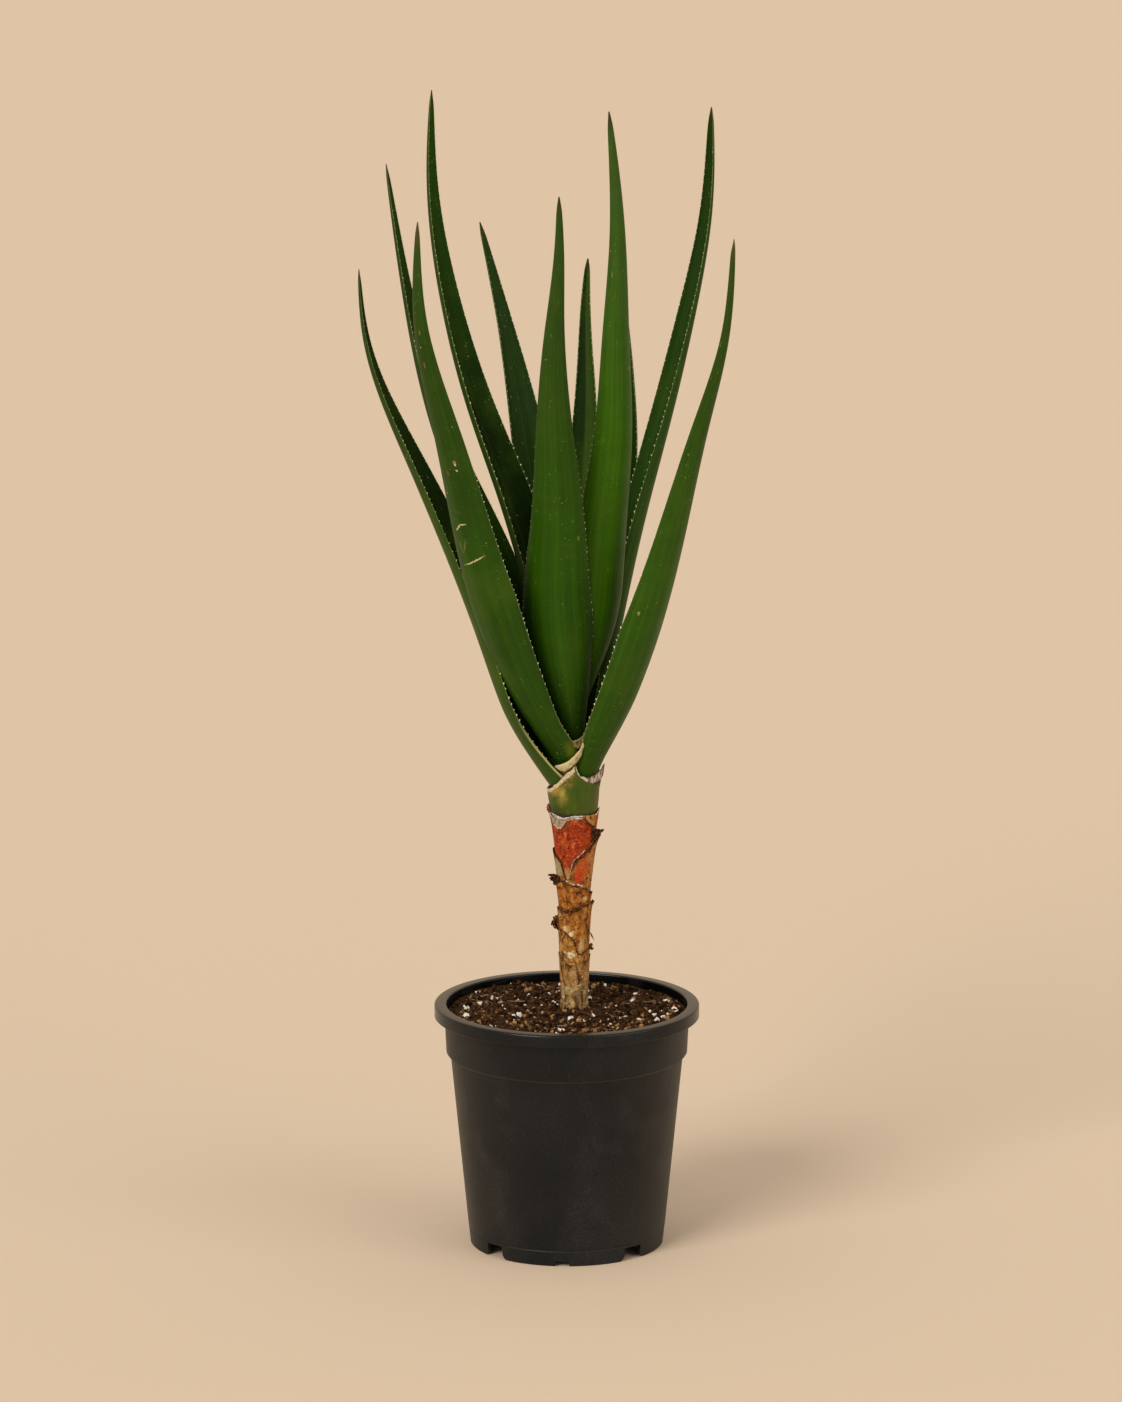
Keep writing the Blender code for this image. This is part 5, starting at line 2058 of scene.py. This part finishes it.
TRIMS = (
    Trim("grey_flap", Slot.COLLAR, DryPaper(
        "grey_flap_skin", (0.40, 0.30, 0.20), (0.24, 0.16, 0.095), (0.10, 0.055, 0.03), (0.60, 0.50, 0.38),
        0.86, (0.50, 0.40, 0.30), 0.16,
    ), (
        Shred(
            ((-68, 398.8, 0.2), (-62, 394.5, 0.7), (-56.7, 389.6, 1.1), (-42, 387.5, 1.4), (-31, 388.4, 1.3),
             (-24, 392.2, 0.9), (-17, 396.4, 0.5), (-7, 398.2, 0.3)),
            ((-71.5, 400.2, 0.2), (-62, 399.2, 0.5), (-50, 398.2, 0.5), (-40, 397.6, 0.5), (-32, 397.3, 0.5),
             (-24, 397.3, 0.5), (-15.3, 398, 0.4), (-5.7, 398.9, 0.2)),
            0.5, 0.5,
        ),
    )),
    Trim("pale_shreds", Slot.COLLAR, DryPaper(
        "pale_shred", (0.80, 0.74, 0.64), (0.52, 0.45, 0.36), (0.20, 0.14, 0.10), edge_from=2.0,
    ), (
        Strand(((-75.5, 400.1, 0.3, 0.2), (-55.5, 399.3, 0.7, 0.3), (-39.3, 397.8, 0.75, 0.4),
            (-25.3, 397.5, 0.6, 0.4), (-12.8, 398.8, 0.6, 0.3), (-0.9, 399.9, 0.5, 0.3),
            (13.3, 399.8, 0.45, 0.3), (28.5, 399.6, 0.35, 0.2), (43.1, 399.5, 0.2, 0.1))),
        Strand(((-7.3, 395.6, 0.3, 0.2), (-0.9, 397.5, 0.7, 0.3), (6.1, 398.4, 0.6, 0.3),
            (13.3, 398.8, 0.3, 0.2))),
        Strand(((-27.4, 339.2, 0.5, 0.6), (-23.9, 338.4, 0.8, 0.7), (-19.5, 337.8, 0.5, 0.6)), 0.1),
        Strand(((46.4, 369.5, 0.2, 0.2), (32.6, 367.4, 0.3, 0.2), (20.9, 364, 0.25, 0.2),
            (11.3, 361.5, 0.3, 0.2), (1.7, 359, 0.2, 0.2), (-5.5, 355.6, 0.25, 0.2), (-10.1, 350.3, 0.2, 0.1),
            (-13.7, 344.5, 0.2, 0)), 1.1),
        Strand(((-15.1, 336.8, 0.3, 0.3), (-4.3, 335.7, 0.5, 0.4), (8, 335.8, 0.4, 0.4),
            (20.6, 334.1, 0.5, 0.4), (35.1, 332.4, 0.3, 0.2)), 0.6),
        Strand(((-24.8, 270.8, 0.5, 0.1), (-12.9, 269.7, 1.2, 0), (-3.4, 267.9, 0.5, 0.1))),
    )),
    Trim("amber_shreds", Slot.SCALE, DryPaper(
        "amber_shred", (0.46, 0.22, 0.06), (0.32, 0.13, 0.025), (0.09, 0.032, 0.010), edge_from=2.0,
        foot_to=0.25,
    ), (
        Shred(
            ((19.5, 399, 0.3), (27.2, 396.1, 0.5), (36.4, 392.3, 0.6), (49.3, 387.7, 0.7),
             (57.6, 387.6, 0.6)),
            ((20.4, 400.3, 0.2), (28.1, 400, 0.4), (36.3, 399.9, 0.4), (45.6, 399.6, 0.4),
             (56.7, 399.5, 0.2)),
            0.5, 0.3,
        ),
        Strand(((78, 288.5, 0.3, 0), (85, 286, 0.55, 1.2), (90, 282.5, 0.5, 2.9),
            (92, 278.6, 0.15, 4.4)), 0.2),
        Strand(((84, 286, 0.3, 0.6), (89, 283.6, 0.4, 1.8), (92, 281.6, 0.15, 2.4)), 0.2),
        Strand(((-61.7, 303.2, 0.4, 0.1), (-38.9, 305.7, 0.8, 0.1), (-18.8, 308.2, 0.9, 0.1),
            (-3, 309.9, 0.5, 0.1))),
    )),
    Trim("old_bud", Slot.SCALE, Husk(
        "bud_husk", (0.07, 0.02, 0.01), (0.26, 0.09, 0.04), (0.40, 0.20, 0.10),
    ), (
        Strand(((-88, 407.8, 0.4, 0.2), (-88, 404.6, 1.7, 0.9), (-88, 401.4, 2.0, 0.9),
            (-74, 399.6, 0.6, 0)), 0.3),
    )),
    Trim("dark_husks", Slot.SCALE, Husk("dark_husk"), (
        Strand(((-64.8, 315.2, 0.4, 0.2), (-56.4, 312.5, 0.7, 0.3), (-41.7, 310.8, 1.3, 0.2),
            (-25.2, 310.2, 1.8, 0.2), (-11.2, 310.8, 1.9, 0.2), (5.2, 312.2, 1.6, 0.2),
            (21.9, 313.8, 1.4, 0.2), (40.4, 315.4, 1.3, 0.2), (55.4, 316.6, 1.6, 0.3),
            (67.9, 317.2, 1.3, 0.4)), 0.4),
        Strand(((-38.3, 308.2, 0.5, 0.2), (-18.4, 308.8, 0.9, 0.3), (-1.3, 310.4, 0.8, 0.3),
            (18.6, 312.5, 0.5, 0.2)), 0.5),
        Strand(((-84, 304.5, 0.5, 0), (-88, 301.5, 1.7, 0.9), (-88, 297.5, 2.1, 1.1), (-83, 293.8, 1.8, 0.8),
            (-70, 290.6, 0.7, 0.4)), 0.35),
        Strand(((-80, 303, 0.4, 0.3), (-74, 299, 1.0, 0.5), (-72, 294.5, 1.0, 0.5),
            (-66, 291, 0.5, 0.3)), 0.4),
        Strand(((-60.3, 292.3, 0.6, 0.2), (-41.1, 290.8, 0.6, 0.2), (-26.5, 288.6, 0.6, 0.2),
            (-12, 285.5, 0.65, 0.2), (-1.4, 282.2, 0.65, 0.2), (4.3, 278.7, 0.7, 0.2), (5.8, 275, 0.6, 0.2),
            (12.1, 271.5, 0.65, 0.2), (21.7, 269.6, 0.7, 0.2), (33.2, 270.7, 0.6, 0.2), (47.7, 273, 0.6, 0.2),
            (64, 274.4, 0.8, 0.3), (78.9, 275.1, 0.5, 0.3)), 0.5),
        Strand(((76, 273.5, 0.9, 0), (84, 272.6, 1.1, 1.0), (92, 272.2, 0.6, 2.6), (94, 272, 0.2, 3.2)), 0.3),
        Strand(((68.6, 377.5, 0.9, 0.4), (57.5, 374.1, 0.7, 0.3), (46.8, 370, 0.6, 0.3),
            (34, 366.9, 0.6, 0.2), (20.8, 363.1, 0.6, 0.2), (8.4, 360, 0.6, 0.2), (-1.1, 357.2, 0.5, 0.2),
            (-8.4, 352.3, 0.35, 0.1)), 0.5),
        Strand(((-65.5, 363, 0.3, 0.1), (-53.3, 358.7, 0.5, 0.2), (-42.4, 354.1, 0.5, 0.2),
            (-37.4, 348.5, 0.5, 0.2), (-31, 342.1, 0.45, 0.2), (-27.4, 339.4, 0.3, 0.1)), 0.4),
        Strand(((-60.8, 338.4, 0.8, 0.3), (-43.4, 337.5, 0.9, 0.4), (-30, 336.7, 0.5, 0.3),
            (-15.1, 335.2, 0.4, 0.2), (4.9, 333.9, 0.5, 0.3), (20.6, 332.7, 0.8, 0.3),
            (38.1, 330.7, 0.8, 0.3), (55.4, 327, 0.7, 0.3), (64.1, 322.3, 0.5, 0.2)), 0.6),
    )),
    Trim("torn_corners", Slot.SCALE, Husk(
        "corner_husk", (0.015, 0.005, 0.002), (0.070, 0.023, 0.007), (0.20, 0.085, 0.028),
    ), (
        Shred(
            ((50, 374.2, 0.2), (66, 375.6, 0.6), (80, 377.6, 1.3), (88, 380.6, 4.4), (92, 382.4, 6.2)),
            ((48, 387, 0.2), (66, 385.6, 1.2), (80, 384, 2.4), (88, 383.4, 4.8), (92, 383.0, 6.4)),
            1.1, 0.3,
        ),
        Shred(
            ((-52, 335.2, 0.2), (-66, 335, 0.5), (-80, 335.8, 1.5), (-90, 337.4, 3.0), (-92, 338.4, 4.3)),
            ((-50, 341, 0.6), (-66, 342.4, 1.6), (-80, 342, 3.5), (-90, 341, 6.0), (-92, 340.2, 8.0)),
            1.3, 0.3,
        ),
        Shred(
            ((-60, 334, 0.2), (-76, 332.6, 0.6), (-86, 331.6, 1.2), (-90, 331.4, 2.0)),
            ((-60, 338, 0.2), (-76, 337, 0.6), (-86, 334.4, 1.2), (-90, 332.6, 2.1)),
            1.0, 0.3,
        ),
    )),
)

# The lifts of these are radii about the stem's axis.
WINGS = (
    Trim("leaf_base_wings", Slot.LEAF, DryPaper(
        "cream_base", (0.50, 0.42, 0.20), (0.38, 0.30, 0.125), (0.24, 0.19, 0.06), (0.70, 0.61, 0.34), 0.55,
        (0.06, 0.05, 0.008), 0.22,
    ), (
        Shred(
            ((17, 466.5, 30.6), (14, 456, 26.6), (5, 449.5, 25.6), (-7, 444.4, 25.2), (-21.5, 440.0, 25.2),
             (-30, 441.4, 25.6), (-40, 445, 27)),
            ((14, 470.0, 32.4), (10, 463, 29.6), (-1, 456.4, 27), (-10, 452.4, 26.4), (-17, 450.4, 26.2),
             (-28, 448, 26.6), (-40, 446.2, 27.4)),
            0.8, 0.1,
        ),
    )),
    Trim("front_leaf_foot", Slot.LEAF, DryPaper(
        "tan_base", (0.34, 0.25, 0.10), (0.15, 0.095, 0.03), (0.05, 0.03, 0.008), (0.36, 0.28, 0.12), 0.8,
    ), (
        Shred(
            ((-9, 467.5, 24), (0, 464.5, 24), (8, 462.8, 24), (15, 465.5, 24), (22, 469, 24)),
            ((-11, 469.8, 24), (-3, 470.2, 24), (6, 471, 24), (16, 474, 24), (26, 477, 24)),
            0.7, 0.3,
        ),
    )),
)


BLADES = (
    Blade(
        "left_outer", 180, 424, 36,
        ((-72, -9, 560), (-106, -14, 648), (-142, -16, 732), (-178.6, -17, 835), (-184.2, -18, 898)),
        31.5, 65, 80, turn=(-22, -18), taper=1.2, thick=5.0,
        skin=LeafSkin((0.034, 0.072, 0.005), (0.032, 0.068, 0.008), (0.040, 0.075, 0.006), clasp=(0.08, 0.16),
                      clasp_from=0.45),
        # The face is painted near black as shade.
        face=LeafSkin((0.005, 0.015, 0.0006), (0.016, 0.040, 0.002), gloss=0.04),
    ),
    Blade(
        "right_outer", 324, 430, 23,
        ((55, -26, 517), (94, -52, 648), (120, -72, 764), (139.6, -89, 851), (146.2, -93, 936.5)),
        33, 60, 85, turn=(4, 7), broad=0.29, swell=-7.0, blunt=2.4, taper=1.4,
        skin=LeafSkin((0.025, 0.072, 0.002), (0.034, 0.082, 0.004), clasp=(0.05, 0.16), clasp_from=0.481,
                      point=(0.075, 0.066, 0.010), point_share=0.985,
                      marks=(Mark((58, 505), (4.0, 26.0), (0.16, 0.13, 0.02), 0, 0.7, 0.9),
                             Mark((9, 187), (1.2, 2.2), (0.30, 0.26, 0.08)),
                             Mark((44, 300), (1.0, 3.0), (0.30, 0.20, 0.06)))),
        face=LeafSkin((0.020, 0.052, 0.002)),
    ),
    Blade(
        "left_rear", 152, 434, 26,
        ((-46, 36, 560), (-68, 43, 625), (-112, 60, 731), (-143, 75, 855), (-162, 84, 977)),
        29, 50, 80, taper=1.15,
        skin=LeafSkin((0.018, 0.050, 0.002), (0.024, 0.058, 0.004)),
        face=LeafSkin((0.014, 0.040, 0.0015), (0.024, 0.064, 0.004), flecks=0.8, gloss=0.06, pale_margin=0.2),
    ),
    Blade(
        "right_rear_low", 68, 438, 26,
        ((26, 58, 560), (54, 96, 690), (57, 112, 770), (52, 124, 845)),
        26, 50, 70,
        skin=LeafSkin((0.018, 0.050, 0.002)),
        face=LeafSkin((0.016, 0.046, 0.002), gloss=0.06, pale_margin=0.2),
    ),
    Blade(
        "left_front", 222, 441, 34,
        ((-56, -39, 549), (-81, -61, 627), (-109, -96, 759), (-130, -123.6, 870), (-130, -127.0, 957)),
        34.5, 60, 75, broad=0.33, swell=5.0, taper=1.1,
        skin=LeafSkin(
            (0.020, 0.060, 0.0015), (0.034, 0.082, 0.005), (0.016, 0.046, 0.0006), clasp=(0.08, 0.16),
            clasp_from=0.478, point=(0.078, 0.052, 0.014), point_share=0.985,
            marks=(
                Mark((31, 267), (6.0, 0.8), (0.62, 0.52, 0.28), 48),
                Mark((37, 271), (4.5, 0.8), (0.62, 0.52, 0.28), 8),
                Mark((38.5, 234), (13.5, 0.8), (0.60, 0.50, 0.26), 28),
                Mark((29, 247), (0.6, 7.0), (0.30, 0.27, 0.08), 12, 0.6),
                Mark((34, 250), (0.5, 8.0), (0.26, 0.24, 0.07), -16, 0.6),
                Mark((33, 322), (1.6, 3.4), (0.16, 0.07, 0.02), 20),
                Mark((18, 405), (0.7, 16.0), (0.20, 0.10, 0.03), 0, 0.7, 0.8),
                Mark((46, 300), (8.0, 40.0), (0.012, 0.036, 0.001), 0, 0.5, 0.9),
                Mark((20, 60), (10.0, 40.0), (0.012, 0.034, 0.0006), 0, 0.5, 0.9),
                Mark((44, 333), (2.0, 2.6), (0.30, 0.16, 0.05)),
                Mark((44.3, 331), (1.2, 1.6), (0.66, 0.56, 0.34)),
                Mark((44.5, 325), (1.3, 1.2), (0.66, 0.56, 0.34)),
                Mark((39, 461), (1.3, 3.0), (0.36, 0.15, 0.04)),
                Mark((37, 430), (1.0, 4.0), (0.34, 0.15, 0.04)),
                Mark((36, 447), (0.9, 1.4), (0.55, 0.42, 0.20)),
                Mark((24, 300), (0.8, 1.2), (0.40, 0.38, 0.16)),
                Mark((56, 16), (10.0, 16.0), (0.12, 0.15, 0.006), 0, 0.85, 0.9),
            ),
        ),
        face=LeafSkin((0.020, 0.054, 0.002)),
    ),
    Blade(
        "rear_left", 112, 446, 22,
        ((-16, 56, 600), (-35, 96, 712), (-55, 134, 815), (-79, 163.6, 912)),
        36, 55, 70, taper=1.2,
        skin=LeafSkin((0.018, 0.050, 0.002), (0.022, 0.052, 0.005)),
        # The far half of the face is painted lighter as the lit half.
        face=LeafSkin((0.014, 0.042, 0.002), (0.018, 0.048, 0.004), far_half_light=(0.024, 0.060, 0.008), flecks=0.8,
                      gloss=0.06, pale_margin=0.25),
    ),
    Blade(
        "right_rear_tall", 28, 452, 18,
        ((62, 42, 651), (90, 62, 757), (112, 76, 851), (126.6, 88, 936), (129.6, 92, 1027)),
        22, 70, 70, turn=(-14, 22), taper=0.8,
        skin=LeafSkin((0.020, 0.056, 0.002), (0.026, 0.062, 0.004)),
        face=LeafSkin((0.022, 0.066, 0.003), (0.018, 0.052, 0.003), gloss=0.06, pale_margin=0.25),
    ),
    Blade(
        "front", 266, 457, 8,
        ((-2, -20, 526), (-10, -42, 604), (-9, -67, 672), (-11, -91, 749), (-11, -110, 858), (-7, -117, 926),
         (-7, -120, 978)),
        35, 50, 75, taper=1.2,
        # The foot colour is painted darker as shade.
        skin=LeafSkin((0.021, 0.070, 0.0008), (0.034, 0.084, 0.006), (0.014, 0.040, 0.0006), foot_share=0.14,
                      marks=(Mark((51, 226), (1.6, 3.6), (0.17, 0.20, 0.02), 0, 0.7),)),
        face=LeafSkin((0.018, 0.052, 0.001)),
    ),
    Blade(
        "left_tall", 147, 464, 14,
        ((-50, 36, 675), (-81, 56, 758), (-107, 76, 851), (-122, 88, 958), (-121, 88, 1043)),
        29, 50, 70, taper=0.9,
        skin=LeafSkin((0.016, 0.046, 0.001), (0.026, 0.062, 0.003)),
        # The face's green is painted dark as the shade between the leaves; its top is lighter.
        face=LeafSkin((0.005, 0.017, 0.0004), (0.024, 0.074, 0.003), gloss=0.04, pale_margin=0.2),
    ),
    Blade(
        "front_tall", 296, 470, 8,
        ((27, -13, 582), (36, -30, 667), (44, -55, 752), (45, -81, 846), (45, -97, 945), (36.4, -108, 1051)),
        30.5, 50, 70, broad=0.22, taper=1.05,
        skin=LeafSkin((0.035, 0.112, 0.0012), (0.050, 0.118, 0.012), foot_share=0.14,
                      marks=(Mark((47, 337), (1.6, 2.4), (0.34, 0.14, 0.05)),
                             Mark((47.3, 337), (0.8, 1.0), (0.50, 0.34, 0.18)),
                             Mark((13, 422), (1.0, 3.0), (0.32, 0.20, 0.08)))),
        face=LeafSkin((0.020, 0.056, 0.001)),
    ),
    Blade(
        "rear", 85, 478, 6,
        ((10, 30, 640), (17, 60, 762), (17, 84, 851), (19, 92, 890)),
        26, 60, 70, taper=1.05,
        skin=LeafSkin((0.020, 0.054, 0.002), (0.026, 0.062, 0.004)),
        # The far half of the face is painted darker as shade.
        face=LeafSkin((0.036, 0.074, 0.004), (0.040, 0.080, 0.006), far_half_light=(0.012, 0.032, 0.001), gloss=0.06),
    ),
)


def main() -> None:
    """Builds the studio and the plant in order."""
    logging.basicConfig(level=logging.INFO, format="%(name)s: %(message)s")
    Studio().build()
    NurseryPot().build()
    PottingMix().build()
    stem = [StemCore().build(), *(scale.build() for scale in SCALES), GreenSheath().build()]
    skin = StemSkin(stem)
    PaperyCollar().build()
    for trim in TRIMS:
        trim.build(skin.radius)
    for wing in WINGS:
        wing.build(lambda _turn, _height: 0.0)
    Crown(BLADES).build()
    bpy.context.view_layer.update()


if __name__ == "__main__":
    main()
